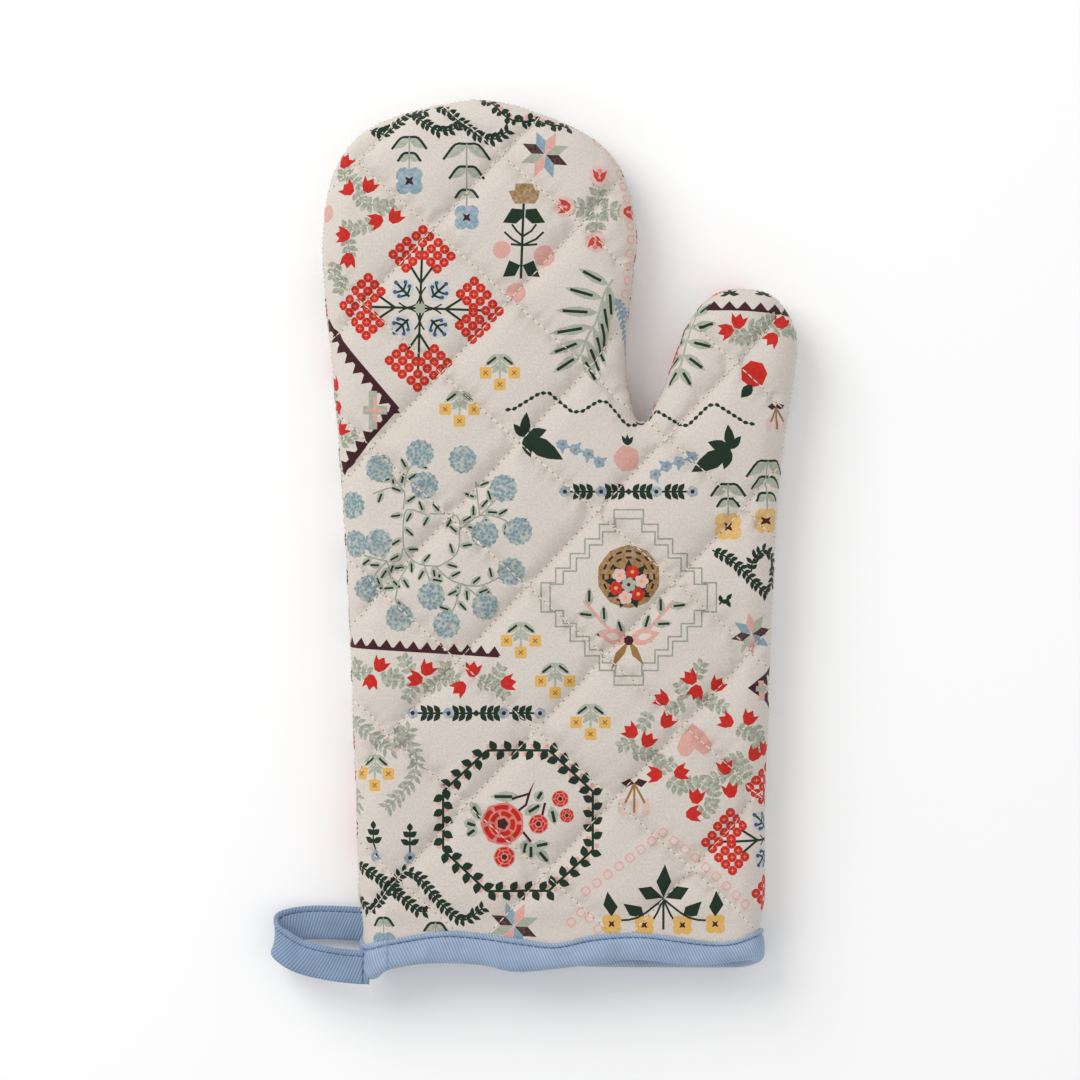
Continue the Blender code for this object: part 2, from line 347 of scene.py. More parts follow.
def leaf_wreath(x, y, wide, high):
    """Eight-sided ring of small dark leaves, with pink buds along it."""
    ring = [(x + wide * math.cos(a), y + high * math.sin(a)) for a in np.radians(np.arange(22.5, 430, 45))]
    steps = sided_walk(ring, 2.75)
    for _, side, px, py, a in steps:
        disc(*spot(px, py, a, 0, side * 1.5), 1.05, PINK, 0.4, 5)
    for _, side, px, py, a in steps:
        leaf(px, py, a - side * 58, 4.4, 3.1)
    for a, b in zip(ring, ring[1:]):
        line([a, b], 0.95)


def rose(x, y, r):
    """Open red flower: rings of short strokes round a dark heart."""
    disc(x, y, 1.04 * r, ROSE, 0.3, 14, 0.07)
    for ring, count, turn in ((0.84, 6, 10), (0.52, 5, 40)):
        for k in range(count):
            arc = [math.radians(turn + 360 * (k + t) / count) for t in (0, 0.26, 0.52, 0.8)]
            line([(x + ring * r * math.cos(a), y + ring * r * math.sin(a)) for a in arc], 0.23 * r, RED)
    disc(x, y, 0.3 * r, MAROON, 0, 5)


def stepped_diamond(x, y, r):
    """Double line that goes round a diamond in steps."""
    for q in (r, r - 3.4):
        corner = []
        for k in range(6):
            corner += [(q - k * q / 6, k * q / 6), (q - k * q / 6, (k + 1) * q / 6)]
        path = []
        for turn in (0, 90, 180, 270):
            path += place(corner, x, y, turn)
        for (ax, ay), (bx, by) in zip(path, path[1:] + path[:1]):
            d = math.hypot(bx - ax, by - ay) / 0.3
            if d:
                ex, ey = (bx - ax) / d, (by - ay) / d
                line([(ax - ex, ay - ey), (bx + ex, by + ey)], 0.6, SAGE_DARK, 0.35)


def sawtooth(points, side, tooth, wide):
    """Maroon band with pointed teeth on one side."""
    line(points, wide, MAROON)
    for px, py, a in walk(points, tooth):
        shape(place([(-tooth * 0.5, 0), (tooth * 0.5, 0), (0, side * (0.5 * wide + 2.9))], px, py, a), MAROON)


def frond(stem, left, right, length, gap):
    """Long sage leaves with dark dashes. They lean from the first to the last angle on each side."""
    path = bend(stem)
    line(path, 0.9, SAGE, 0.4)
    steps = walk(path, gap)
    for k, (px, py, a) in enumerate(steps):
        t = k / (len(steps) - 1)
        for first, last in (left, right):
            dashed_leaf(px, py, first + (last - first) * t, length * (0.8 + 0.2 * math.sin(math.pi * t)), 4.0)


def heart(x, y, r, turn):
    """Plain pink heart."""
    cup = [(0, -1), (0.62, -0.42), (1, 0.25), (0.82, 0.72), (0.42, 0.8), (0, 0.42), (-0.42, 0.8),
           (-0.82, 0.72), (-1, 0.25), (-0.62, -0.42)]
    shape(place(cup, x, y, turn, r), PINK, 0.35)


def ring_chain(points):
    """Row of pale square links."""
    for px, py, a in walk(points, 5.2):
        for r, ink in ((1.75, LINK), (1.1, GROUND)):
            square(px, py, a, r, 0.6, ink, 0.2)


def bow(x, y, size):
    """Dark bow over mustard stems with pink blossom below."""
    for k in range(9):
        aside, down = (k % 3 - 1) * 4.2 * size, (6.8 + k // 3 * 1.7) * size
        disc(x + aside, y - down, 1.5 * size, PALE_PINK, 0.9, 7, 0.3)
    for dx, low in ((-3.2, 7), (0, 10.5), (3.8, 7)):
        line([(x, y), (x + dx * size, y - low * size)], 0.85, MUSTARD)
    for side in (1, -1):
        blade(x, y, flip(6, side), 4.8 * size, side * 3.2 * size, MAROON)


def potted_stem(x, y):
    """Mustard flower on a dark stem with straight-sided leaves and small twigs."""
    line([(x, y), (x - 1.2, y - 32)], 0.95)
    for side in (1, -1):
        upper = (0.6, 6), (4.6, 5.6), (8, 11), (3, 11.4), (0.4, 9)
        shape([(x + side * px, y - py) for px, py in upper], GREEN)
        lower = (0.4, 27), (4.6, 25.2), (7, 31.4), (2.4, 31)
        shape([(x - 1 + side * px, y - py) for px, py in lower], GREEN)
        for low, reach, high in ((19.5, 7.4, 5.0), (16.2, 4.6, 4.6), (19.5, 5.0, 0.4)):
            line([(x - 0.5, y - low), (x + side * reach * 0.6, y - low + 0.45 * high),
                  (x + side * reach, y - low + high)], 0.8)
    hat = [(3.4, 3.9), (4, 1.5), (5.9, 1.1), (5.4, -1.6), (4, -3.8), (-3.6, -3.9), (-4.7, -1.5), (-5.8, 0.9),
           (-3.6, 1.3), (-3.2, 3.8)]
    shape([(x + px, y + py) for px, py in hat], MUSTARD, 0.5)


def tulip_cross(x, y):
    """Mottled leaves in a cross, with a pale tulip beyond each."""
    for k in range(4):
        a = 90 * k - 4
        sage_spray(*spot(x, y, a, 5.4), a, 1.25)
        leaf(*spot(x, y, a + 45, 1.5), a + 45, 5.2, 2.4, SAGE_DARK, 0.7)
        px, py = spot(x, y, a, 12.6)
        disc(px, py, 3.9, PALE_PINK, 0.4, 9, 0.12)
        tulip(px, py, a, 4.3, TULIP)
        for lean in (-24, 0, 24):
            dash(px, py, a + lean, -1.2, 2.6, 0.45, PINK)


def five_leaf(x, y):
    """Spread of dark straight-sided leaves over a row of yellow flowers."""
    shape([(x + px, y + py) for px, py in ((0, 0), (-2.7, 6.2), (0.6, 12.8), (3.0, 6.2))], GREEN)
    line([(x, y), (x, y - 12)], 0.9)
    for side in (1, -1):
        shape([(x + side * px, y + py) for px, py in ((0, 0), (4.6, 4.4), (9.6, 3.8), (6.6, -0.6))], GREEN)
        for reach, drop, turn, length in ((7.2, 9, 38, 9.6), (19.5, 8.6, 84, 9.8)):
            px, py = x + side * reach, y - drop
            line(bend([(x, y - 0.5), (x + side * 0.5 * reach, y - 0.75 * drop - 1), (px, py)], 3), 0.8)
            blade(px, py + 1.5, flip(turn, side), length, side * 5.4)
            clover(px, py - 1.2, 3.9, YELLOW, 0.25)


def sprig(x, y, side):
    """Spray of dark leaves with a trail of blue bells."""
    for a, length, wide in ((-30, 17, 7.0), (84, 9.5, 4.0), (18, 9, 4.6), (128, 6.5, 3.0), (-72, 8, 3.8)):
        leaf(x, y, flip(a, side), length, wide)
    trail = bend([(x + side * px, y + py) for px, py in ((12, -2), (18, -4.2), (24, -6.2), (29, -10))])
    line(trail, 0.8, BLUE, 0.3)
    for _, lean, px, py, a in sided_walk(trail, 5.2):
        blossom(px, py, a, 2.1, BLUE, MUSTARD, 5, 0.5)
        leaf(px, py, a + 70 * lean, 3.6, 1.5, BLUE, 0.3)


def bouquet(x, y):
    """Posy on a round wicker mat, tied with a pink bow between two leafy branches."""
    for side in (1, -1):
        branch = bend([(x, y - 12), (x + side * 8, y - 7), (x + side * 17, y + 3)], 4)
        line(branch, 1.3, PINK, 0.3)
        for _, lean, px, py, a in sided_walk(branch, 4.4):
            dashed_leaf(px, py, a + 42 * lean, 7.4, 3.3)
    disc(x, y + 12, 11.6, MUSTARD, 0.35, 20, 0.03)
    for ring, count in ((9.6, 16), (7.2, 12)):
        for k in range(count):
            dash(*spot(x, y + 12, 360 * k / count, ring), 360 * k / count + 90, -1.1, 1.1, 0.8, MAROON)
    for k in range(9):
        leaf(x, y + 9, 10 + 40 * k, 9.5, 3.8)
    for k in range(6):
        blossom(*spot(x, y + 9, 60 * k + 15, 5.0), 60 * k, 2.5, RED if k % 2 else PALE_PINK, YELLOW, 5, 0.1)
    blossom(x, y + 9, 20, 2.6, SAGE, MAROON, 6, 0.5)
    for side, tail in ((1, -62), (-1, 236)):
        turn = flip(14, side)
        leaf(x, y - 12, turn, 12, 6.4, PINK, 0.3)
        leaf(*spot(x, y - 12, turn, 3.4), turn, 5.6, 2.7, GROUND)
        blade(x, y - 12, tail, 12 - side, 3.0, MUSTARD)
    disc(x, y - 12, 1.9, MAROON, 0, 7)


def twig(x, y):
    """Upright dark leaves over a small blue flower."""
    line([(x, y), (x, y - 9)], 0.7)
    leaf(x, y - 0.5, 90, 3.2, 2.4)
    for low, lift, length in ((2.6, 38, 3.3), (5.6, 30, 4.1)):
        for side in (-1, 1):
            leaf(x, y - low, flip(lift, side), length, 2.4)
    disc(x, y - 10.6, 2.1, BLUE, 1.0, 10, 0.15)
    disc(x, y - 10.6, 0.85, MAROON, 0, 6)


def zigzag(points):
    """Chain of short dark stitches."""
    line(points, 0.45, SAGE_DARK)
    for px, py, t in walk(points, 2.5):
        leaf(*spot(px, py, t, -1.15), t, 2.3, 1.5)
        dash(px, py, t, -0.9, 0.9, 0.8)


def draw_print():
    """The whole front print. Motifs stand at their own places over the hand and the thumb."""
    stepped_diamond(34.3, -21.6, 33)
    bouquet(34.3, -25.8)
    for end in ((35.8, 84.1), (38.8, 68.2)):
        vine([(29.8, 91), end], 2.6, 1.3, 2.0, BLUE, 0.3)
    ring_chain([(16.1, -133.8), (47.2, -110.3), (57, -117.5), (81.3, -139.5)])
    ring_chain([(10.8, -145.9), (17.2, -139.5), (23.7, -147.8)])
    ring_chain(bend([(21.4, 152.4), (29.8, 145.9), (35.1, 127), (35.8, 105.4), (33.5, 91)]))
    berry_cross(-44.2, 87.2, -2)
    berry_cross(93, -112.9, 2)
    pompom_wreath(([(-40.7, 9.1), (-49.1, 11.4), (-50.6, 3.8), (-49.8, -4.5), (-44.5, -9.1), (-37, -9.9)],
            [(-37, -9.9), (-30.5, -5.3), (-29.4, 2.3), (-30.5, 9.1), (-40.7, 9.9)], [(-50.6, 11.4),
            (-50.2, 18.2), (-55.1, 19.7), (-62, 17.4)], [(-50.2, 18.2), (-54.4, 23.5), (-58.9, 26.5)],
            [(-50.2, 19.7), (-49.1, 25.8), (-45.3, 30.3)], [(-29.4, 3.8), (-21.8, 9.1), (-14.2, 8.3),
            (-8.1, 4.5)], [(-21.8, 9.1), (-22.6, 15.9), (-23.3, 22)], [(-21.8, 9.1), (-16.5, 14.4),
            (-13.1, 18.9)], [(-50.6, -3), (-52.1, -7.6), (-56.7, -8), (-65.8, -5.7)], [(-56.7, -8),
            (-61.2, -12.9), (-64.2, -18.2)], [(-56.7, -8), (-55.5, -14.4), (-58.2, -21.2)], [(-38.5, -9.9),
            (-32.4, -15.2), (-24.1, -17.4), (-18, -15.9), (-11.2, -12.1)], [(-28.6, -16.3), (-30.9, -24.3),
            (-33.9, -29.6)], [(-28.6, -16.3), (-23.3, -20.5), (-20.3, -24.3)], [(-43, -8.3),
            (-40.7, -15.2), (-40, -19.7)], [(-47.6, -8.3), (-52.1, -15.2), (-53.6, -22.7)]),
            ((-44.3, 32.6), (-28.2, 30.3), (-59.7, 27.1), (-42.6, 20.6), (-12.9, 19.5), (-70.5, 13),
            (-19.9, 2.3), (-7.2, 3.3), (-69.5, -1.5), (-59.9, -1.1), (-64.6, -18.4), (-40, -21.1),
            (-9.9, -11.9), (-52.1, -29.2), (-34.3, -31.8), (-19.6, -24.9)))
    leaf_wreath(-7.4, -105.7, 30.5, 28.7)
    for x, y, turn, length in ((-6.6, -96.6, 180, 11.5), (-25.2, -98.5, -62, 8.5),
            (-27.9, -106.1, -20, 5.5), (-22.6, -108.4, 215, 5.5), (-4, -112.6, 258, 6.5),
            (-2.5, -113.7, 270, 7), (-0.6, -116, -50, 8), (-2.1, -115.6, 12, 7), (-5.1, -103.5, 32, 8),
            (5.1, -100.1, -78, 7.5), (-0.6, -98.5, 60, 5)):
        dashed_leaf(x, y, turn, length, 4.2)
    for twigs in ([(-9.7, -97.4), (-3.2, -95.5), (-0.6, -89.4), (2.8, -99.3), (9.3, -103.8)],
            [(-3.2, -95.5), (-4.4, -99.7), (-7.4, -102)], [(2.8, -98.9), (1.3, -105.4)], [(-5.5, -109.9),
            (-2.5, -113.7)]):
        line(twigs, 0.95, MAROON)
    for x, y, r in ((-13.2, -106.9, 7.6), (0.3, -106.9, 3.5), (8.5, -97.4, 3.0), (11, -103.7, 2.6),
            (-12.5, -119.4, 3.8)):
        rose(x, y, r)
    tulips(((57.4, -51.9, 130), (59.7, -57.2, 250), (67.7, -54.6, 55), (46.8, -59.9, 150),
            (48.7, -68.2, 50), (35.1, -72, 140), (41.5, -75.4, 60), (71.1, -68.2, 150), (79.8, -67.1, 60),
            (82.1, -80.7, 60), (87, -78.8, 80), (44.2, -88.3, 180), (54, -87.5, 15), (70.7, -85.7, 100),
            (72.6, -94.4, 100), (59.7, -96.6, 80), (58.6, -103.1, 5)), ((60.5, -49.3, 60),
            (54.8, -56.9, 120), (52.5, -62.9, 200), (62.7, -60.6, 10), (67.7, -62.2, -20),
            (40.7, -67.8, 240), (33.9, -76.6, 200), (38.8, -80.3, 0), (44.5, -82.2, -40),
            (47.9, -85.3, 30), (77.9, -72, -30), (83.2, -72.8, -60), (83.6, -76.6, -90),
            (74.9, -82.6, 200), (78.3, -85.7, -60), (67.7, -89.4, 200), (74.1, -89.1, -60),
            (51.7, -92.1, -40), (56.7, -92.1, 20), (62.7, -91.7, -30), (63.9, -101.6, 40),
            (66.1, -96.3, 80)))
    heart(58.9, -75.8, 6.8, 186)
    disc(33.5, 30.7, 4.7, PINK, 0.3, 10, 0.1)
    for a in (60, 90, 120):
        leaf(33.9, 35.6, a, 4.4, 1.7, GREEN)
    five_leaf(47.4, -134.9)
    zigzag([(-12.3, 48.9), (-8.9, 49.3), (0.9, 55.3), (4.4, 55.3), (13.1, 48.1), (16.9, 48.5),
            (22.9, 52.3), (26.7, 51.9), (33.9, 43.6), (37, 44), (43.4, 49.6), (54, 43.2), (56.7, 43.2),
            (64.6, 50.8), (67.7, 50.8), (77.9, 44.3), (81.3, 43.6)])
    sprig(-5.1, 38.7, 1)
    sprig(72.6, 34.1, -1)
    flower_row(34.3, 18.2)
    flower_row(-23.1, -65.2)
    for path in ([(-64.2, 156.1), (-58.9, 154.6), (-53.6, 157.7), (-48.3, 161.8), (-43, 162.2)],
            [(-47.6, 161.8), (-43, 157.7), (-37.7, 154.3), (-32.4, 154.6), (-29.4, 156.9)],
            [(-39.2, 164.5), (-33.2, 162.2), (-28.2, 157.7), (-22.6, 152.4), (-15.7, 151.2),
            (-10.8, 154.6)], [(-70.3, -122), (-64.2, -125.1), (-57.4, -129.6), (-50.6, -134.9),
            (-45.3, -139.5), (-41.5, -139.9)], [(-54.4, -129.6), (-50.6, -125.4), (-45.3, -126.6),
            (-40, -132.7), (-34.7, -138.7), (-27.9, -143.3), (-20.7, -138.7)], [(-69.5, -134.2),
            (-65, -139.5), (-59.7, -135.3), (-53.6, -128.9)], [(65.8, -3.8), (71.8, -6.8), (77.9, -12.1),
            (83.2, -17.4), (87.4, -20.5)], [(80.5, -12.1), (81.3, -7.6), (85.8, -3.8), (90.4, -7.6),
            (89.6, -16.7)], [(68.4, -24.3), (69.9, -22.7), (72.2, -22.7)]):
        vine(path)
    for path in ([(-72.6, -66.7), (-63.5, -73.5), (-55.1, -78.8), (-48.3, -71.3)], [(-52.9, -72.8),
            (-46, -80.3), (-46.8, -89.4), (-52.9, -97), (-57.4, -101.6)], [(-71.8, -93.2), (-69.5, -98.5),
            (-70.3, -103.1)], [(-52.9, -69), (-50.6, -75)]):
        vine(path, 4.4, 1.7, 2.5, SAGE_DARK, 0.7)
    bud_vine([(-21.8, 167.9), (-17.2, 165.6), (-13.1, 161.1), (-7.8, 158.4), (-0.6, 159.6), (5.1, 157.3),
            (13.1, 156.5)])
    umbrella(-48.3, 151.2, 2, 6.0)
    umbrella(-26.7, 148.6, 3, 8.6, r=4.9)
    umbrella(71.8, 20.5, 2, 5.4, YELLOW)
    umbrella(87.4, 29.2, 3, 6.0, YELLOW, 5.0)
    umbrella(-58.6, -142.9, 1, 6)
    umbrella(-38.5, -144.8, 1, 6)
    star(2.8, 145.2, 9.5, 154)
    star(-8.9, -145.5, 9.5, 154)
    star(81.3, -35.6, 8.6, 12)
    potted_stem(-5.1, 130.4)
    for x, y, r in ((-13.5, 109.2, 3.3), (2.5, 106.9, 3.9), (-8.1, 93.2, 3.6), (-80.9, 123.2, 3.4)):
        disc(x, y, r, PINK, 0.35, 18, 0.04)
    tulip_cross(22.6, 124.7)
    frond([(28.6, 98.2), (25.2, 92.9), (22.2, 82.6), (19.1, 77.3), (16.1, 69)], (152, 214),
            (-84, -62), 16.5, 5.6)
    frond([(58.9, 87.9), (55.9, 77.3), (54, 67.8), (51.4, 60.6)], (120, 236), (30, -58), 11.6, 5.2)
    for x, y in ((-14.2, 63.7), (-29.4, 50), (-6.3, -37.1), (6.6, -52.3), (19.9, -67.8), (-61.6, -87.2)):
        little_yellow(x, y)
    sawtooth([(-81.7, 82.6), (-53.2, 49.6), (-75.6, 25)], -1, 5.1, 2.4)
    for a, b in (((-62, 56.1), (-62, 41.7)), ((-65.8, 48.9), (-56.7, 48.9))):
        line([a, b], 3.2, SAGE, 0.4)
    line([(-61.2, 53.8), (-61.2, 44)], 1.4, PINK, 0.4)
    line([(-65, 48.9), (-57.4, 48.9)], 1.2, PINK, 0.4)
    tulips(((-77.9, 58.4, 130), (-77.1, 50, 200), (-75.6, 41.7, 40)), ((-79.4, 54.6, 60),
            (-78.6, 46.2, 90), (-73, 37.9, 30)), 4.6)
    sawtooth([(101.8, -42.4), (80.5, -55.7), (101.8, -69.7)], 1, 5.1, 2.4)
    line([(85.1, -53.1), (85.1, -60.6)], 2.4, PINK, 0.4)
    line([(82.8, -56.1), (88.1, -56.1)], 2.0, SAGE, 0.4)
    sawtooth([(63.1, 87.5), (97.2, 86)], 1, 6.0, 0.9)
    sawtooth([(-74.9, -39.8), (-14.6, -43.6)], 1, 5.1, 1.3)
    for x, y in ((72.2, 93.6), (85.8, 94)):
        for a in (-8, 40, 90, 140, 188):
            leaf(x, y, a, 4.0, 1.9, GREEN)
    tulips(((75.6, 82.2, 75), (71.1, 78.8, 200), (93, 82.6, 70), (88.5, 75.8, 230)), ((82.4, 80.3, 0),
            (87.4, 82.6, 30), (79.8, 76.6, 200), (76, 76.9, 190), (96.8, 78.8, -20), (92.7, 79.6, 0)))
    tulips(((-59.3, -47, 60), (-63.1, -53.4, 260), (-41.5, -48.5, 55), (-46, -52.3, 170),
            (-24.4, -48.9, 80), (-29.4, -55.7, 220), (-11.2, -53.8, 10)), ((-70.3, -48.5, 60),
            (-66.5, -50, 0), (-55.9, -51.5, 20), (-52.9, -53.1, 180), (-49.1, -47, 120),
            (-39.2, -54.6, 200), (-34.7, -50, 90), (-33.2, -52.3, 0), (-19.5, -53.8, -20),
            (-15.3, -50.8, 60), (-14.2, -56.1, -50), (-47.6, -56.9, 240)))
    tulips(((-74.1, 143.6, 60), (-71.8, 132.3, 140), (-63.5, 133.4, 60), (-60.8, 120.1, 200),
            (-53.6, 121.7, 50), (-73.3, 114.8, 170), (-71.4, 105.4, 260)), ((-74.1, 138.7, 90),
            (-69.5, 135.3, -40), (-66.5, 128.5, -60), (-61.6, 126.2, 0), (-65, 118.2, 200),
            (-70.3, 117.1, 160), (-71.1, 110.3, -80), (-77.5, 101.6, 250), (-57.4, 125.1, 20),
            (-74.9, 96.6, 250)))
    disc(81.5, 62.5, 5.2, RED, 0.04, 7)
    leaf(80.9, 58.4, -132, 6.5, 4.2, GREEN)
    bow(90.8, 50, 0.8)
    bow(36.4, -91.7, 1.05)
    twig(-62.2, -108.4)
    twig(-48.1, -109.2)


# ---------------------------------------------------------------- the mitt's surface

def even(points, gap):
    """The same line with points at an even gap."""
    pts = np.array(points)
    run = run_along(pts)
    at = np.linspace(0, run[-1], max(2, int(round(run[-1] / gap)) + 1))
    return np.stack([np.interp(at, run, pts[:, 0]), np.interp(at, run, pts[:, 1])], axis=1)


def run_along(path):
    """Length along a line up to each of its points."""
    return np.concatenate([[0], np.cumsum(np.linalg.norm(np.diff(np.array(path), axis=0), axis=1))])


def mitt_outline(gap):
    """The seam's line from the cuff's one side round fingers and thumb to its other side."""
    height, r = CROTCH_ARC
    arc = [(CROTCH[0] + r * math.cos(a), height + r * math.sin(a))
           for a in np.linspace(math.pi, 2 * math.pi, 7)[1:-1]]
    return np.concatenate([even(bend(FINGER_SIDE, 12), gap), np.array(arc), even(bend(THUMB_SIDE, 12), gap)])


outline = mitt_outline(1.7)


ON_LINE = 0.05       # nearer than this, a point counts as on the outline


def edge_of(points):
    """Distance of each point to the outline and the direction inwards from it."""
    a, b = outline[:-1], outline[1:]
    along = b - a
    square_length = (along ** 2).sum(1)
    depth, inward = [], []
    for k in range(0, len(points), 3000):
        p = points[k:k + 3000, None, :]
        t = np.clip(((p - a) * along).sum(2) / square_length, 0, 1)
        off = p - (a + t[..., None] * along)
        d2 = (off ** 2).sum(2)
        best = d2.argmin(1)
        row = np.arange(len(best))
        d = np.sqrt(d2[row, best])
        way = off[row, best] / np.maximum(d, 1e-9)[:, None]
        side = np.stack([along[best, 1], -along[best, 0]], axis=1)
        side /= np.linalg.norm(side, axis=1)[:, None]
        depth.append(d)
        inward.append(np.where((d < ON_LINE)[:, None], side, way))
    return np.concatenate(depth), np.concatenate(inward)


def inside_outline(points):
    """Which points lie inside the outline."""
    ring = np.concatenate([outline, outline[:1]])
    count = np.zeros(len(points), int)
    x, y = points[:, 0], points[:, 1]
    for (ax, ay), (bx, by) in zip(ring[:-1], ring[1:]):
        crosses = (ay > y) != (by > y)
        if crosses.any():
            count[crosses] += x[crosses] < ax + (y[crosses] - ay) * (bx - ax) / (by - ay)
    return count % 2 == 1


def ease(x, low, high):
    """0 below low, 1 above high, and smooth between them."""
    t = np.clip((x - low) / (high - low), 0, 1)
    return t * t * (3 - 2 * t)


def lattice(points):
    """Flat points in units of the quilting grid."""
    return np.linalg.solve(np.stack([QUILT_A, QUILT_B], axis=1), (points - QUILT_ORIGIN).T).T


SHEET_SCALE = 0.02   # simulated metres for each millimetre
FRAMES = 22


def puffed_sheet(start, faces, held):
    """Places of a sheet's points after it is blown up while some of them are held."""
    mesh = bpy.data.meshes.new("sheet")
    mesh.from_pydata(start.tolist(), [], faces.tolist())
    sheet = bpy.data.objects.new("sheet", mesh)
    scene = bpy.context.scene
    scene.collection.objects.link(sheet)
    if mesh.polygons[0].normal.z < 0:
        mesh.flip_normals()
    group = sheet.vertex_groups.new(name="held")
    group.add(np.nonzero(held)[0].tolist(), 1.0, "REPLACE")
    cloth = sheet.modifiers.new("cloth", "CLOTH")
    s = cloth.settings
    s.quality = 6
    s.mass = 0.25
    s.tension_stiffness = 22
    s.compression_stiffness = 22
    s.shear_stiffness = 8
    s.bending_stiffness = 0.6
    s.vertex_group_mass = "held"
    s.pin_stiffness = 1.0
    s.shrink_min = -0.018
    s.use_pressure = True
    s.uniform_pressure_force = 5.0
    s.effector_weights.gravity = 0.0
    cloth.collision_settings.use_collision = False
    scene.frame_start, scene.frame_end = 1, FRAMES
    for number in range(1, FRAMES + 1):
        scene.frame_set(number)
    result = np.zeros(len(start) * 3, np.float32)
    sheet.evaluated_get(bpy.context.evaluated_depsgraph_get()).data.vertices.foreach_get("co", result)
    scene.frame_set(1)
    bpy.data.objects.remove(sheet)
    return result.reshape(-1, 3).astype(float)


def simulate_quilting():
    """Height of a sheet of cloth held down along the quilting and blown up by the wadding."""
    corners = lattice(np.array([(x, y) for x in (-95, 112) for y in (-172, 180)]))
    low = np.floor(corners.min(0)).astype(int) * CELL
    high = np.ceil(corners.max(0)).astype(int) * CELL
    ii, jj = np.meshgrid(np.arange(low[0], high[0] + 1), np.arange(low[1], high[1] + 1), indexing="ij")
    flat = QUILT_ORIGIN + ii[..., None] / CELL * QUILT_A + jj[..., None] / CELL * QUILT_B
    box = (flat[..., 0] > -93) & (flat[..., 0] < 110) & (flat[..., 1] > -168) & (flat[..., 1] < 178)
    depth, _ = edge_of(flat[box])
    within = inside_outline(flat[box])
    inside, free = np.zeros(ii.shape, bool), np.zeros(ii.shape, bool)
    inside[box] = within | (depth < 5)
    u, v = (ii % CELL) / CELL, (jj % CELL) / CELL
    dome = np.sin(math.pi * u) * np.sin(math.pi * v)
    free[box] = within & (depth > 2.0)
    free &= (u != 0) & (v != 0)
    rough = np.random.default_rng(4).normal(0, 0.12, inside.sum())
    start = np.zeros((inside.sum(), 3))
    start[:, :2] = flat[inside] * SHEET_SCALE
    sewn = ((u == 0) | (v == 0))[inside]
    start[:, 2] = np.where(sewn, 0, (dome[inside] * 1.2 + rough) * SHEET_SCALE)
    index = -np.ones(ii.shape, int)
    index[inside] = np.arange(inside.sum())
    quad = index[:-1, :-1], index[1:, :-1], index[1:, 1:], index[:-1, 1:]
    faces = np.stack([q.ravel() for q in quad], axis=1)
    faces = faces[(faces >= 0).all(1)]
    height = np.zeros(ii.shape)
    height[inside] = puffed_sheet(start, faces, ~free[inside])[:, 2] / SHEET_SCALE
    return low, height / np.percentile(height[inside & free], 97)


quilt_low, quilt_height = simulate_quilting()


def cubic(grid, at):
    """Smooth reading of a grid at fractional places."""
    base = np.floor(at).astype(int)
    weights = []
    for f in (at - base).T:
        weights.append(np.stack([-0.5 * f + f * f - 0.5 * f ** 3, 1 - 2.5 * f * f + 1.5 * f ** 3,
                                 0.5 * f + 2 * f * f - 1.5 * f ** 3, -0.5 * f * f + 0.5 * f ** 3]))
    total = 0.0
    for i in range(4):
        for j in range(4):
            a = np.clip(base[:, 0] + i - 1, 0, grid.shape[0] - 1)
            b = np.clip(base[:, 1] + j - 1, 0, grid.shape[1] - 1)
            total = total + weights[0][i] * weights[1][j] * grid[a, b]
    return total


def quilt(points, depth, side):
    """How far the quilted cloth stands from the panel's base surface."""
    grid = lattice(points)
    puff = cubic(quilt_height, grid * CELL - quilt_low)
    puff = np.tanh(1.8 * np.clip(puff, -0.1, 1.4)) / math.tanh(1.8)
    near = np.abs(grid - np.round(grid)) * DIAMOND
    run = grid[:, ::-1] * DIAMOND
    dimple = np.exp(-(near / 0.9) ** 2) * (0.5 - 0.5 * np.cos(2 * math.pi * (run / STITCH)))
    pucker = np.cos(2 * math.pi * (run / 5.9 + 0.5 * np.sin(run / 9.0 + 1.7 * np.round(grid))))
    pucker = (pucker * np.exp(-near / 4.2) * (1 - np.exp(-(near / 1.3) ** 2))).sum(1)
    x, y = points[:, 0], points[:, 1]
    crumple = (np.sin(x / 2.9 + y / 6.1 + 1.4 * np.sin(y / 8.3))
               + np.sin(y / 2.3 - x / 9.7 + 1.6 * np.sin(x / 11.9))
               + np.sin(x / 4.7 - y / 3.9 + 1.1 * np.sin((x + y) / 13.1)))
    out = VALLEY * (puff - 1) + 0.3 * dimple.max(1) + 0.6 * pucker + 0.07 * crumple - 0.15
    if side < 0:
        out = np.minimum(out * 0.8, -0.1)
    out = out * (0.25 + 0.75 * ease(depth, 0.5, 8.0)) - 0.4 * (1 - ease(depth, 0, 3))
    cuff = ease(-y, 134.0, 147.5)
    return out * (1 - cuff) - 2.9 * cuff


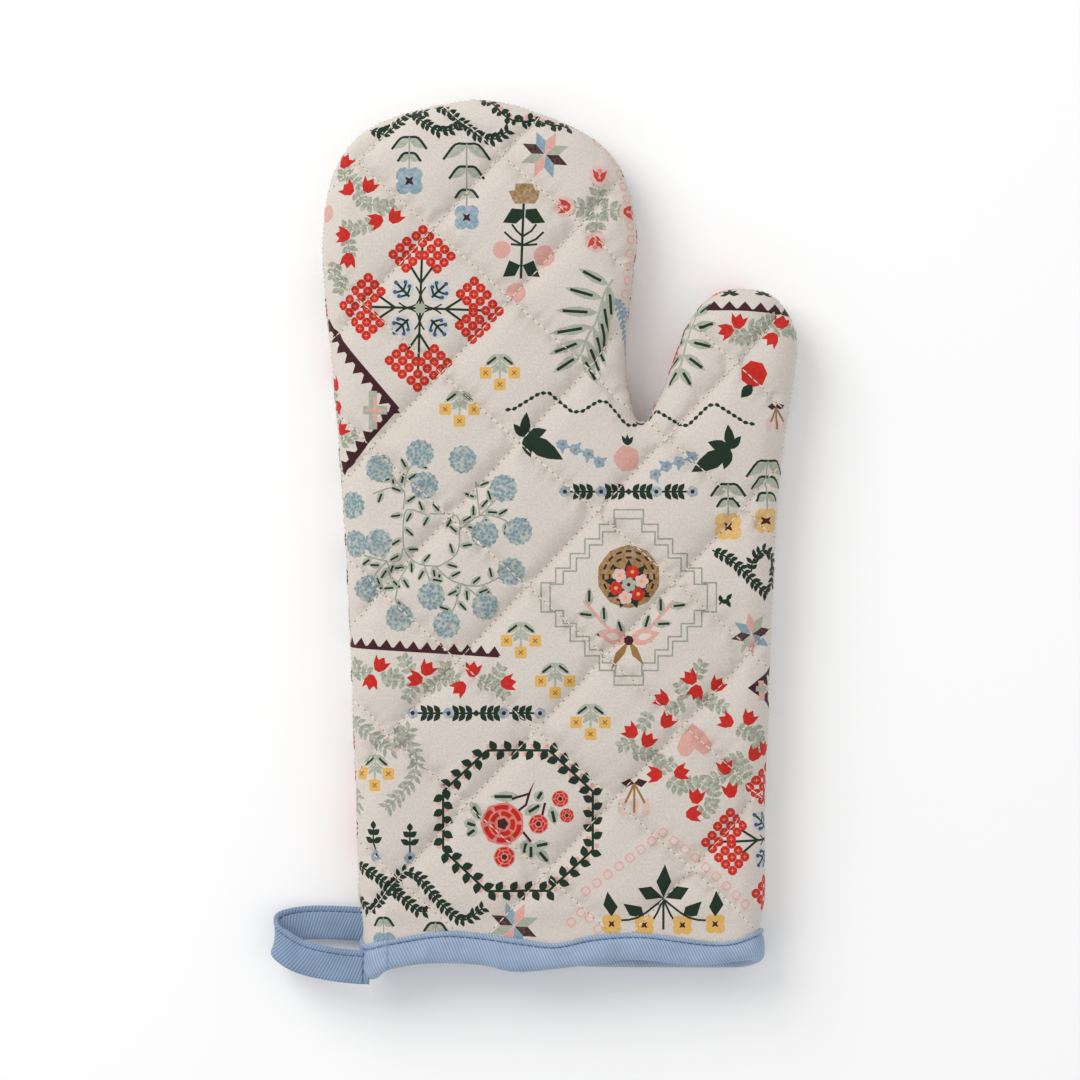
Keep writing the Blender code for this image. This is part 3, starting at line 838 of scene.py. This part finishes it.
def surface(points, side, lift=0.0, quilted=True):
    """Where flat cloth points lie on the front (1) or back (-1), lift above the cover's face."""
    depth, inward = edge_of(points)
    x, y = points.T
    cos = np.clip(1 - depth / EDGE, 0, 1)
    sin = np.sqrt(1 - cos * cos)
    seam = EDGE + 3.2 * ease(inward[:, 0], 0.1, 0.9) * ease(y, -150, -110)
    rise = TOP - seam if side > 0 else seam
    z = seam + side * rise * sin
    if side > 0:
        middle = 1 - (1 - np.clip((depth - EDGE) / 45.0, 0, 1)) ** 2
        sway = np.array([noise.noise((px / 55, py / 55, 3.1)) for px, py in points])
        z = z + (CROWN * middle + 1.3 * sway * ease(depth, 0, 25)) * ease(y, -125, -50)
    away = lift + (quilt(points, depth, side) if quilted else np.zeros(len(points)))
    out = np.stack([-inward[:, 0] * cos, -inward[:, 1] * cos, side * sin], axis=1)
    tuck = np.exp(-(rise * sin / 1.7) ** 2) * ease(y, -150, -142)
    return np.stack([x + inward[:, 0] * tuck, y + inward[:, 1] * tuck, z], axis=1) + out * away[:, None]


def cloth_place(points):
    """Where each point of the flat outline lies on the cloth, measured over the rounded edge."""
    depth, inward = edge_of(points)
    across = np.clip(EDGE - depth, 0, EDGE)
    return points - inward * (EDGE * np.arcsin(across / EDGE) - across)[:, None]


PRINT_STEP = 1.6     # longest edge of a printed shape
BENT_BAND, BEYOND = 3.0, 8.0     # the print bends from this far inside the outline to this far outside


def over_the_edge(polygons):
    """The same shapes, with what lies near the outline carried down over the rounded edge."""
    split = [split_edges(p, PRINT_STEP) for p in polygons]
    points = np.array([q for p in split for q in p])
    depth, inward = edge_of(points)
    outside = ~inside_outline(points) & (depth > ON_LINE)
    inset = np.where(outside, -depth, depth)
    inward = np.where(outside[:, None], -inward, inward)
    arc = EDGE * math.asin(1 - BENT_BAND / EDGE) + BENT_BAND - inset
    fall = np.maximum(arc - EDGE * math.pi / 2, 0)
    moved = EDGE * (1 - np.sin(np.clip(arc / EDGE, 0, math.pi / 2))) - fall
    near = (inset < BENT_BAND) & (inset > -BEYOND)
    points = points + inward * np.where(near, moved - inset, 0)[:, None]
    cuts = np.cumsum([len(p) for p in split])[:-1]
    return [[(float(x), float(y)) for x, y in part] for part in np.split(points, cuts)]


# ---------------------------------------------------------------- meshes

PARTS = ("hand", "fingers", "thumb")


def section_of(points):
    """Index in PARTS for each point."""
    thumb = ((points - CROTCH) @ THUMB_ACROSS > 0) & (points[:, 0] > CROTCH[0])
    fingers = (points[:, 1] > FINGER_LINE) & (points[:, 0] < CROTCH[0])
    return np.where(thumb, 2, np.where(fingers, 1, 0))


def attach(obj, part):
    """Ties a hand piece to the hand's body; a finger or thumb piece only has its placement baked into its
    mesh.
    """
    if part == "fingers":
        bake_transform(obj)
    elif part == "thumb":
        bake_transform(obj)
    else:
        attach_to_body(obj, "hand")


def make_mesh(name, places, faces, material, uv=None, color=None, normals=None):
    """Mesh object from places in millimetres. uv per vertex, color per triangle as (r, g, b, a)."""
    mesh = bpy.data.meshes.new(name)
    mesh.from_pydata((np.asarray(places) * MM).tolist(), [], [list(map(int, f)) for f in faces])
    mesh.polygons.foreach_set("use_smooth", [True] * len(mesh.polygons))
    if uv is not None:
        corner = np.zeros(len(mesh.loops), int)
        mesh.loops.foreach_get("vertex_index", corner)
        layer = mesh.uv_layers.new(name="cloth")
        layer.data.foreach_set("uv", (np.asarray(uv)[corner] * 0.01).astype(np.float32).ravel())
    if color is not None:
        layer = mesh.color_attributes.new("print", "FLOAT_COLOR", "CORNER")
        layer.data.foreach_set("color", np.repeat(np.asarray(color, np.float32), 3, axis=0).ravel())
    mesh.materials.append(material)
    if normals is not None:
        mesh.normals_split_custom_set_from_vertices(np.asarray(normals).tolist())
    obj = bpy.data.objects.new(name, mesh)
    bpy.context.scene.collection.objects.link(obj)
    return obj


def vertex_normals(p, f):
    """Area-weighted normals of a triangle mesh with places p and faces f."""
    n = np.cross(p[f[:, 1]] - p[f[:, 0]], p[f[:, 2]] - p[f[:, 0]])
    out = np.zeros_like(p)
    for k in range(3):
        np.add.at(out, f[:, k], n)
    return out / np.maximum(np.linalg.norm(out, axis=1), 1e-12)[:, None]


def tube_faces(count, wide, closed):
    """Faces between rings of wide points each. closed joins the last ring to the first."""
    faces = []
    for r in range(count if closed else count - 1):
        s = (r + 1) % count
        for k in range(wide):
            m = (k + 1) % wide
            faces.append([r * wide + k, r * wide + m, s * wide + m, s * wide + k])
    return faces


def quilt_lines(gap):
    """Points along every quilting line."""
    lines = []
    for number in range(-6, 12):
        for a, b in ((QUILT_A, QUILT_B), (QUILT_B, QUILT_A)):
            start = QUILT_ORIGIN + number * a - 12 * b
            steps = np.arange(0, 26 * np.linalg.norm(b), gap)
            lines.append(start + steps[:, None] * b / np.linalg.norm(b))
    return lines


def flat_points(gap, side, fine):
    """Points spread over the flat panel: round its edge, over its area and along the quilting."""
    insets = (0.3, 1.0, 2.1, 3.6, 5.5, 7.8) if fine else (1.0, 4.5)
    edge = even(outline, gap)
    _, inward = edge_of(outline)
    turn = np.interp(np.linspace(0, 1, len(edge)), np.linspace(0, 1, len(outline)), np.arange(len(outline)))
    ways = inward[np.round(turn).astype(int)]
    out = []
    for inset in insets:
        ring = edge + ways * inset
        out.append(ring[np.abs(edge_of(ring)[0] - inset) < 0.12])
    rng = np.random.default_rng(7 + side)
    xs, ys = np.meshgrid(np.arange(-88, 104, gap), np.arange(-158, 170, gap * 0.866))
    xs = xs + (np.arange(xs.shape[0])[:, None] % 2) * gap / 2
    grid = np.stack([xs.ravel(), ys.ravel()], axis=1) + rng.uniform(-0.12, 0.12, (xs.size, 2)) * gap
    out.append(grid[edge_of(grid)[0] > (insets[-1] + 0.6 * gap)])
    if fine:
        for ring in quilt_lines(1.25):
            d = ring[-1] - ring[0]
            n = np.array([-d[1], d[0]]) / np.linalg.norm(d)
            out += [ring + n * off for off in (-1.5, -0.6, 0.0, 0.6, 1.5)]
    points = np.concatenate(out)
    points = points[(points[:, 1] > CUFF_Y + 0.2)]
    return points[inside_outline(points)]


def edges_round(polygon):
    """Pairs of neighbouring points, round a closed polygon."""
    return zip(polygon, polygon[1:] + polygon[:1])


def split_edges(polygon, longest):
    """The same polygon with points along its longer edges."""
    out = []
    for (ax, ay), (bx, by) in edges_round(polygon):
        count = max(1, math.ceil(math.hypot(bx - ax, by - ay) / longest))
        out += [(ax + (bx - ax) * k / count, ay + (by - ay) * k / count) for k in range(count)]
    return out


def holds(polygon, x, y):
    """Whether the polygon has the point inside."""
    inside = False
    for (ax, ay), (bx, by) in edges_round(polygon):
        if (ay > y) != (by > y) and x < ax + (y - ay) * (bx - ax) / (by - ay):
            inside = not inside
    return inside


def compact(count, faces):
    """Which points faces use, and the faces in terms of those points."""
    used = np.unique(faces)
    renumber = -np.ones(count, int)
    renumber[used] = np.arange(len(used))
    return used, renumber[faces]


def triangulate(points, polygons):
    """Triangles of the flat panel, and the topmost printed shape that each lies in."""
    rim = outline[outline[:, 1] > CUFF_Y]
    bottom = np.array([[x, CUFF_Y] for x in np.linspace(rim[-1][0], rim[0][0], 90)])
    verts = [Vector(p) for p in np.concatenate([rim, bottom])[::-1]]
    faces = [list(range(len(verts)))]
    thumb_way = np.array([THUMB_ACROSS[1], -THUMB_ACROSS[0]])
    edges = []
    finger_border = (-95, FINGER_LINE), (CROTCH[0], FINGER_LINE)
    thumb_border = CROTCH - thumb_way, CROTCH + 66 * thumb_way
    for ends in (finger_border, thumb_border):
        border = even(ends, PRINT_STEP)
        edges += [(len(verts) + k, len(verts) + k + 1) for k in range(len(border) - 1)]
        verts += [Vector(p) for p in border]
    verts += [Vector(p) for p in points]
    for polygon in polygons:
        area = sum(p[0] * q[1] - q[0] * p[1] for p, q in edges_round(polygon))
        first = len(verts)
        verts += [Vector(p) for p in split_edges(polygon if area > 0 else polygon[::-1], PRINT_STEP)]
        faces.append(list(range(first, len(verts))))
    flat, _, tris, _, _, origin = delaunay_2d_cdt(verts, edges, faces, 1, 1e-3, True)
    kept, top = [], []
    for tri, source in zip(tris, origin):
        if 0 in source:
            x, y = sum((flat[k] for k in tri), Vector((0, 0))) / 3
            kept.append(tri)
            top.append(next((s - 1 for s in sorted(source)[:0:-1] if holds(polygons[s - 1], x, y)), -1))
    used, kept = compact(len(flat), np.array(kept))
    return np.array([tuple(flat[k]) for k in used]), kept, np.array(top)


# ---------------------------------------------------------------- materials

def linear(rgb):
    """Linear colour of an 8-bit sRGB one."""
    c = np.array(rgb) / 255.0
    return np.where(c <= 0.04045, c / 12.92, ((c + 0.055) / 1.055) ** 2.4)


def paint(rgb, strength=1.0):
    """An 8-bit sRGB colour for a shader, darker where strength is below 1."""
    return (*(linear(rgb) * strength), 1)


def fill(node, inputs):
    """Gives a node's inputs their values, or links them to the sockets given."""
    for key, value in inputs.items():
        if isinstance(value, bpy.types.NodeSocket):
            node.id_data.links.new(value, node.inputs[key])
        else:
            node.inputs[key].default_value = value


def new_material(name, roughness, sheen=0.0):
    """New material, its shader, and a function that adds a node and gives its outputs."""
    material = bpy.data.materials.new(name)
    material.use_nodes = True
    nodes = material.node_tree.nodes
    shader = nodes["Principled BSDF"]
    fill(shader, {"Roughness": roughness, "Sheen Weight": sheen, "Specular IOR Level": 0.25})

    def add(kind, inputs, **settings):
        node = nodes.new("ShaderNode" + kind)
        for key, value in settings.items():
            setattr(node, key, value)
        fill(node, inputs)
        return node.outputs
    return material, shader, add


def cloth_vector(add, scale, turn=0.0):
    """Flat cloth coordinates, turned and scaled. A scale of 1 is one unit per 100 mm."""
    return add("Mapping", {"Vector": add("UVMap", {}, uv_map="cloth")["UV"], "Scale": (scale, scale, 1),
                           "Rotation": (0, 0, math.radians(turn))})["Vector"]


def remap(add, value, before, after):
    """A value carried from one range to another, each given as its two ends."""
    return add("MapRange", {"Value": value, "From Min": before[0], "From Max": before[1],
                            "To Min": after[0], "To Max": after[1]})["Result"]


def mixed(add, share, first, second, blend="MIX"):
    """A share of the second colour over the first."""
    return add("Mix", {0: share, 6: first, 7: second}, data_type="RGBA", blend_type=blend)[2]


def bands(add, scale, turn, way, inputs):
    """Waves over the cloth, for threads and ribs."""
    inputs = {"Vector": cloth_vector(add, scale, turn), "Scale": 1.0, **inputs}
    return add("TexWave", inputs, wave_type="BANDS", bands_direction=way)["Fac"]


def printed_cotton(name):
    """Cotton with the print in the mesh's colours, mottled where the ink is, over a fine weave."""
    material, shader, add = new_material(name, 0.9, 0.12)
    ink = add("Attribute", {}, attribute_name="print")
    mottle = add("TexNoise", {"Vector": cloth_vector(add, 110), "Scale": 1.0, "Detail": 2.0,
                              "Roughness": 0.6})["Fac"]
    speck = add("TexVoronoi", {"Vector": cloth_vector(add, 85, 45), "Scale": 1.0})["Distance"]
    speck = remap(add, speck, (0.25, 0.85), (0.0, 0.75))
    worn = add("Math", {0: speck, 1: ink["Alpha"]}, operation="MULTIPLY")[0]
    pale = mixed(add, worn, ink["Color"], paint(SPECKS))
    color = mixed(add, 1.0, pale, remap(add, mottle, (0.3, 0.7), (0.90, 1.06)), "MULTIPLY")
    warp, weft = (bands(add, 30, 45, way, {}) for way in "XY")
    threads = add("Math", {0: warp, 1: weft}, operation="ADD")[0]
    height = add("Math", {0: mottle, 1: 2.0, 2: threads}, operation="MULTIPLY_ADD")[0]
    bump = add("Bump", {"Height": height, "Strength": 0.25, "Distance": 0.00012})["Normal"]
    fill(shader, {"Base Color": color, "Normal": bump})
    return material


def twill(name, lit, shadow):
    """Cotton twill with steep ribs across the tape, coloured from a painted lit tone on the ribs to a painted
    shadow tone between them.
    """
    material, shader, add = new_material(name, 0.85, 0.15)
    rib = bands(add, 28.5, 20, "X", {"Distortion": 0.6, "Detail": 1.0, "Detail Scale": 0.6})
    blotch = add("TexNoise", {"Vector": cloth_vector(add, 9), "Scale": 1.0, "Detail": 2.0})["Fac"]
    # The ribs' colour is painted light and painted shade, laid over the rib bump.
    color = mixed(add, 1.0, mixed(add, rib, paint(shadow), paint(lit)),
                  remap(add, blotch, (0.3, 0.7), (0.88, 1.08)), "MULTIPLY")
    bump = add("Bump", {"Height": rib, "Strength": 0.5, "Distance": 0.0003})["Normal"]
    fill(shader, {"Base Color": color, "Normal": bump})
    return material


def plain_cloth(name, rgb, grain, depth):
    """Undyed cloth or thread: one colour with a fine grain."""
    material, shader, add = new_material(name, 0.9, 0.1)
    where = add("TexCoord", {})["Object"]
    speckle = add("TexNoise", {"Vector": where, "Scale": grain, "Detail": 3.0})["Fac"]
    fill(shader, {"Base Color": mixed(add, speckle, paint(rgb, 1 - depth), paint(rgb))})
    return material


# ---------------------------------------------------------------- panels

PANELS = {1: "front", -1: "back"}


def by_part(flat, tris):
    """For each part of the mitt: its name, which triangles it has, its points, its own faces."""
    section = section_of(flat[tris].mean(1))
    for number, part in enumerate(PARTS):
        mine = section == number
        used, faces = compact(len(flat), tris[mine])
        yield part, mine, used, faces


def build_cover(side, printed):
    """Printed cover of one panel, in three pieces that share their edges."""
    name = PANELS[side]
    flat, tris, top = triangulate(flat_points(1.9, side, True), [p for p, _, _ in printed])
    places = surface(flat, side)
    if side < 0:
        tris = tris[:, ::-1]
    normals = vertex_normals(places, tris)
    inks = np.array([(*linear(GROUND), 0.0)] + [(*linear(c), s) for _, c, s in printed])
    color = inks[top + 1]
    material = printed_cotton(f"{name}_printed_cotton")
    for part, mine, used, faces in by_part(flat, tris):
        obj = make_mesh(f"{name}_cover_cloth_{part}", places[used], faces, material,
                        uv=cloth_place(flat[used]), color=color[mine], normals=normals[used])
        attach(obj, part)
        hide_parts(f"{name}_cover_{part}")


def build_layer(side, layer, outer, inner, material):
    """Batting or lining of one panel as closed pieces between two depths below the cover."""
    name = PANELS[side]
    flat, tris, _ = triangulate(flat_points(3.6, side, False), [])
    if side < 0:
        tris = tris[:, ::-1]
    outer_places = surface(flat, side, outer, quilted=layer == "batting")
    inner_places = surface(flat, side, inner, quilted=False)
    for part, _, used, top in by_part(flat, tris):
        count = len(used)
        half = dict.fromkeys(edge for a, b, c in top for edge in ((a, b), (b, c), (c, a)))
        faces = [list(f) for f in top] + [[count + a, count + c, count + b] for a, b, c in top]
        faces += [[b, a, count + a, count + b] for a, b in half if (b, a) not in half]
        places = np.concatenate([outer_places[used], inner_places[used]])
        obj = make_mesh(f"{name}_{layer}_cloth_{part}", places, faces, material,
                        uv=np.concatenate([flat[used], flat[used]]))
        attach(obj, part)
        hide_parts(f"{name}_{layer}_{part}")


THREAD_SIDES = 5
# Along a stitch, and how thick it is there.
THREAD = ((0.0, 0.35), (0.12, 0.9), (0.5, 1.0), (0.88, 0.9), (1.0, 0.35))


def capsules(ends, radius):
    """Places and faces of short rounded threads between pairs of places, (n, 2, 3)."""
    start, along = ends[:, 0], ends[:, 1] - ends[:, 0]
    across = np.cross(along, np.roll(along, 1, axis=1) + (0.31, 0.17, 0.7))
    across /= np.linalg.norm(across, axis=1)[:, None]
    up = np.cross(along, across)
    up /= np.linalg.norm(up, axis=1)[:, None]
    rows = []
    for t, wide in THREAD:
        for k in range(THREAD_SIDES):
            angle = 2 * math.pi * k / THREAD_SIDES
            out = up * math.cos(angle) + across * math.sin(angle)
            rows.append(start + along * t + out * radius * wide)
    faces = [list(range(THREAD_SIDES)), [len(rows) - 1 - k for k in range(THREAD_SIDES)]]
    faces += [face[::-1] for face in tube_faces(len(THREAD), THREAD_SIDES, False)]
    every = [[v + n * len(rows) for v in face] for n in range(len(ends)) for face in faces]
    return np.stack(rows, axis=1).reshape(-1, 3), every


def build_quilting(side, material):
    """Running stitches along the quilting lines, one piece for each part of the mitt."""
    name = PANELS[side]
    starts, stops = [], []
    rng = np.random.default_rng(11 + side)
    for row in quilt_lines(STITCH):
        way = (row[-1] - row[0]) / np.linalg.norm(row[-1] - row[0])
        shake = rng.uniform(-0.12, 0.12, (len(row), 1)) * np.array([-way[1], way[0]])
        starts.append(row[:-1] + way * 0.45 + shake[:-1])
        stops.append(row[1:] - way * 0.35 + shake[1:])
    starts, stops = np.concatenate(starts), np.concatenate(stops)
    middle = (starts + stops) / 2
    keep = inside_outline(middle) & (middle[:, 1] > -147) & (edge_of(middle)[0] > 1.6)
    starts, stops, middle = starts[keep], stops[keep], middle[keep]
    ends = np.stack([surface(starts, side, 0.05), surface(stops, side, 0.05)], axis=1)
    section = section_of(middle)
    for number, part in enumerate(PARTS):
        places, faces = capsules(ends[section == number], 0.24)
        obj = make_mesh(f"{name}_quilting_thread_{part}", places, faces, material)
        attach(obj, part)


# ---------------------------------------------------------------- cuff and loop

# The binding's folded edge and its sewn edge on the front, and its folded edge on the back.
FRONT_FOLD = [(-70, -165.5), (-66, -167.2), (-57.4, -162.6), (-42, -159.9), (-22, -160.3), (-7.4, -163),
              (16.5, -160.7), (36, -158.4), (58, -160.3), (74, -159.2), (88, -157.5)]
FRONT_EDGE = [(-70, -153), (-53, -150.1), (-36, -147.4), (-22, -148.2), (-7, -150.2), (7, -152),
              (22, -148.9), (41, -148.2), (62, -151), (72, -151.3), (83, -148.6), (88, -147.1)]
BACK_FOLD = [(-70, -160), (-29, -160.4), (-10, -163.2), (8, -162), (36, -162.4), (84, -162.2), (90, -159)]
# The binding's section: distance up from the fold and height over the pinched cloth.
BINDING = [
    (12.9, 0.0), (13.1, 0.5), (12.7, 0.95), (12.0, 1.05), (11.4, 0.85), (11.0, 0.35), (10.8, 0.15),
    (10.6, 0.35), (10.1, 0.85), (9.0, 1.15), (7.0, 1.35), (5.0, 1.4), (3.2, 1.3), (1.8, 0.95), (0.8, 0.3),
    (0.2, -0.6), (0.0, -1.8), (0.2, -3.2), (0.9, -4.4), (2.2, -5.2), (5.0, -5.6), (9.0, -5.5), (12.5, -5.0),
    (12.8, -4.2),
]
SEWN = BINDING.index((10.8, 0.15))     # where the topstitch sinks into it
PINCH = 2.7          # how far the binding pinches the cloth together
OFF_FLOOR = 0.25     # the binding's back stays this far above the floor


def height_at(points, x):
    """Height at x of the smooth line through the points."""
    curve = np.array(bend(points, 8))
    return np.interp(x, curve[:, 0], curve[:, 1])


def mouth(gap):
    """Places round the mouth, (x, z), and the directions outwards from them."""
    left, right = FINGER_SIDE[1][0] + EDGE, THUMB_SIDE[-2][0] - EDGE
    turns = int(math.pi * EDGE / gap)
    turn = math.pi / 2 - math.pi * np.arange(turns) / turns
    middles = [(x, math.pi / 2) for x in np.arange(left, right, gap)]
    middles += [(right, angle) for angle in turn]
    middles += [(x, -math.pi / 2) for x in np.arange(right, left, -gap)]
    middles += [(left, angle - math.pi) for angle in turn]
    x, angle = np.array(middles).T
    out = np.stack([np.cos(angle), np.sin(angle)], axis=1)
    return np.stack([x, np.full(len(x), EDGE)], axis=1) + EDGE * out, out


def build_binding(material, thread):
    """Twill tape folded round the mouth's edge, and the stitches that hold it."""
    base, out = mouth(0.9)
    x = base[:, 0]
    front = 0.5 + 0.5 * out[:, 1]
    fold = front * height_at(FRONT_FOLD, x) + (1 - front) * height_at(BACK_FOLD, x)
    wide = front * (height_at(FRONT_EDGE, x) - fold) / BINDING[1][0] + (1 - front)
    run = run_along(base)
    ripple = np.array([0.35 * noise.noise((s / 17, 2.3, 0.0)) + 0.15 * noise.noise((s / 5, 7.7, 0.0))
                       for s in run])[:, None]
    up, high = np.array(BINDING).T
    reach = high * (1 + 0.25 * ripple) + ripple * np.where(high > -1, 1, 0.3) - PINCH
    reach = np.where(out[:, 1:] < -0.3, np.minimum(reach, -OFF_FLOOR), reach)
    places = np.stack([base[:, :1] + out[:, :1] * reach, fold[:, None] + up * wide[:, None],
                       base[:, 1:] + out[:, 1:] * reach], axis=2)
    uv = np.stack(np.broadcast_arrays(run[:, None], run_along(BINDING)), axis=2)
    obj = make_mesh("cuff_binding_tape", places.reshape(-1, 3), tube_faces(*reach.shape, True), material,
                    uv=uv.reshape(-1, 2))
    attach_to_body(obj, "hand")
    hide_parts("cuff_binding")
    path = places[:, SEWN]
    obj = topstitch("cuff_topstitch_thread", np.concatenate([path, path[:1]]), 0.22, thread)
    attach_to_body(obj, "hand")
    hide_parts("cuff_topstitch")


TOPSTITCH, TOPSTITCH_LENGTH = 2.9, 2.3     # from one topstitch to the next, and each one's length


def topstitch(name, path, radius, material):
    """Row of stitches along a path in space."""
    run = run_along(path)
    at = np.arange(0.4, run[-1] - TOPSTITCH_LENGTH, TOPSTITCH)
    ends = np.stack([np.stack([np.interp(at + s, run, path[:, k]) for k in range(3)], axis=1)
                     for s in (0.0, TOPSTITCH_LENGTH)], axis=1)
    places, faces = capsules(ends, radius)
    return make_mesh(name, places, faces, material)


# Middle of the tape: from the cuff's front, round the turn, back to the cuff's back.
LOOP_PATH = [
    (-63.5, -161.4, 19.6), (-69, -161.2, 18.9), (-77, -160.4, 17.9), (-86, -158.6, 17.2),
    (-92.5, -156.2, 16.0), (-97.6, -152.6, 13.2), (-98.6, -149.6, 10.2), (-96.6, -147.2, 7.0),
    (-91, -145.8, 5.2), (-84, -145.3, 4.4), (-76, -145.5, 4.3), (-69, -145.8, 4.6), (-64, -146, 5.4),
]
# The tape's section: across its width and over its middle. Its topstitch sinks in at GROOVE.
GROOVE = 4.15
TAPE = [(-6.4, 0), (-6.3, 0.6), (-5.8, 0.95), (-4.0, 1.0), (0, 1.05), (3.2, 1.0), (3.9, 0.75), (GROOVE, 0.45),
        (4.4, 0.75), (5.2, 1.05), (5.9, 0.9), (6.35, 0.4)]
TAPE += [(w, -h) for w, h in TAPE[::-1] if h > 0]
TURNED_UP = 4        # how many sections lie face up, inside the binding


def build_loop(material, thread):
    """Hanging loop: the binding's tail turned back on itself."""
    path = [Vector(p) for p in bend(LOOP_PATH, 8)]
    run = run_along(path)
    places, outer, inner = [], [], []
    for k, (p, s) in enumerate(zip(path, run)):
        along = path[min(k + 1, len(path) - 1)] - path[max(k - 1, 0)]
        lean = 0.10 * noise.noise((s / 19, 1.0, 5.0))
        wide = Vector((0.05 + lean, 1.0, 0.10 * math.sin(s / 14)))
        wide = (wide - along * wide.dot(along) / along.length_squared).normalized()
        out = along.cross(wide).normalized()
        if k < TURNED_UP and out.z < 0:
            out = -out
        places += [p + wide * w + out * h for w, h in TAPE]
        outer.append(p + wide * GROOVE + out * 0.5)
        inner.append(p + wide * GROOVE - out * 0.5)
    across = run_along(TAPE)
    faces = tube_faces(len(path), len(TAPE), False)
    faces += [list(range(len(TAPE)))[::-1], list(range(len(places) - len(TAPE), len(places)))]
    obj = make_mesh("hanging_loop_tape", places, faces, material, uv=[(s, v) for s in run for v in across])
    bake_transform(obj)
    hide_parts("hanging_loop")
    for name, groove in (("loop_topstitch_outer", outer), ("loop_topstitch_inner", inner)):
        obj = topstitch(name, np.array(groove), 0.2, thread)
        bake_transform(obj)


# ---------------------------------------------------------------- build

draw_print()
printed = list(shapes)
shapes.clear()
# Darker dots at every needle hole along the quilting lines: painted shade where the thread pulls the cloth
# in.
for row in quilt_lines(STITCH):
    for x, y in row[inside_outline(row)]:
        disc(x, y, 0.3, HOLE_SHADE, 0, 6)
needle_hole_shade = list(shapes)
front_print = [p for p, _, _ in printed]
back_print = [[(6.0 - x, y + 4.0) for x, y in p] for p in front_print]
for face, polygons in ((1, front_print), (-1, back_print)):
    inked = [(p, c, s) for p, (_, c, s) in zip(over_the_edge(polygons), printed)]
    build_cover(face, inked + needle_hole_shade)

wadding = plain_cloth("wadding", (236, 233, 226), 300, 0.2)
lining = plain_cloth("lining_cotton", (222, 213, 200), 900, 0.12)
cream = plain_cloth("quilting_thread", (238, 230, 216), 2000, 0.15)
navy = plain_cloth("topstitch_thread", (62, 88, 132), 2000, 0.35)
# The binding and the loop are one tape: the binding's twill is a lighter copy for painted light, the loop's a
# darker copy for painted shade.
binding_lit_blue = twill("binding_twill_lit", (164, 183, 206), (130, 151, 178))
loop_shaded_blue = twill("loop_twill_shaded", (146, 166, 190), (110, 132, 162))

for face in (1, -1):
    build_layer(face, "batting", -1.5, -5.9, wadding)
    build_layer(face, "lining", -6.0, -6.5, lining)
    build_quilting(face, cream)
build_binding(binding_lit_blue, navy)
build_loop(loop_shaded_blue, navy)


# ---------------------------------------------------------------- floor, light, camera

def placed(name, data, place=(0, 0, 0)):
    """New object of the scene at a place in metres."""
    obj = bpy.data.objects.new(name, data)
    bpy.context.scene.collection.objects.link(obj)
    obj.location = place
    return obj


def area_light(name, place, size, power):
    """Round lamp aimed at the mitt. Metres and watts."""
    data = bpy.data.lights.new(name, "AREA")
    data.shape = "DISK"
    data.size = size
    data.energy = power
    placed(name, data, place).rotation_euler = (-Vector(place)).to_track_quat("-Z", "Y").to_euler()


floor_mesh = bpy.data.meshes.new("floor")
floor_mesh.from_pydata([(-3, -3, 0), (3, -3, 0), (3, 3, 0), (-3, 3, 0)], [], [(0, 1, 2, 3)])
paper, paper_shader, _ = new_material("white_paper", 0.9)
fill(paper_shader, {"Base Color": (0.96, 0.96, 0.96, 1)})
floor_mesh.materials.append(paper)
placed("floor", floor_mesh)

world = bpy.data.worlds.new("studio")
bpy.context.scene.world = world
world.use_nodes = True
fill(world.node_tree.nodes["Background"], {"Color": (1.0, 1.0, 1.0, 1), "Strength": 0.72})

area_light("key", (-0.95, 0.9, 1.1), 1.3, 15)
area_light("fill", (1.1, -0.6, 1.6), 1.2, 2)

bpy.context.scene.view_settings.view_transform = "Standard"

camera_data = bpy.data.cameras.new("camera")
camera_data.sensor_width = 36
camera_data.lens = 192.5
bpy.context.scene.camera = placed("camera", camera_data, (0.0009, 0.0, 2.2))
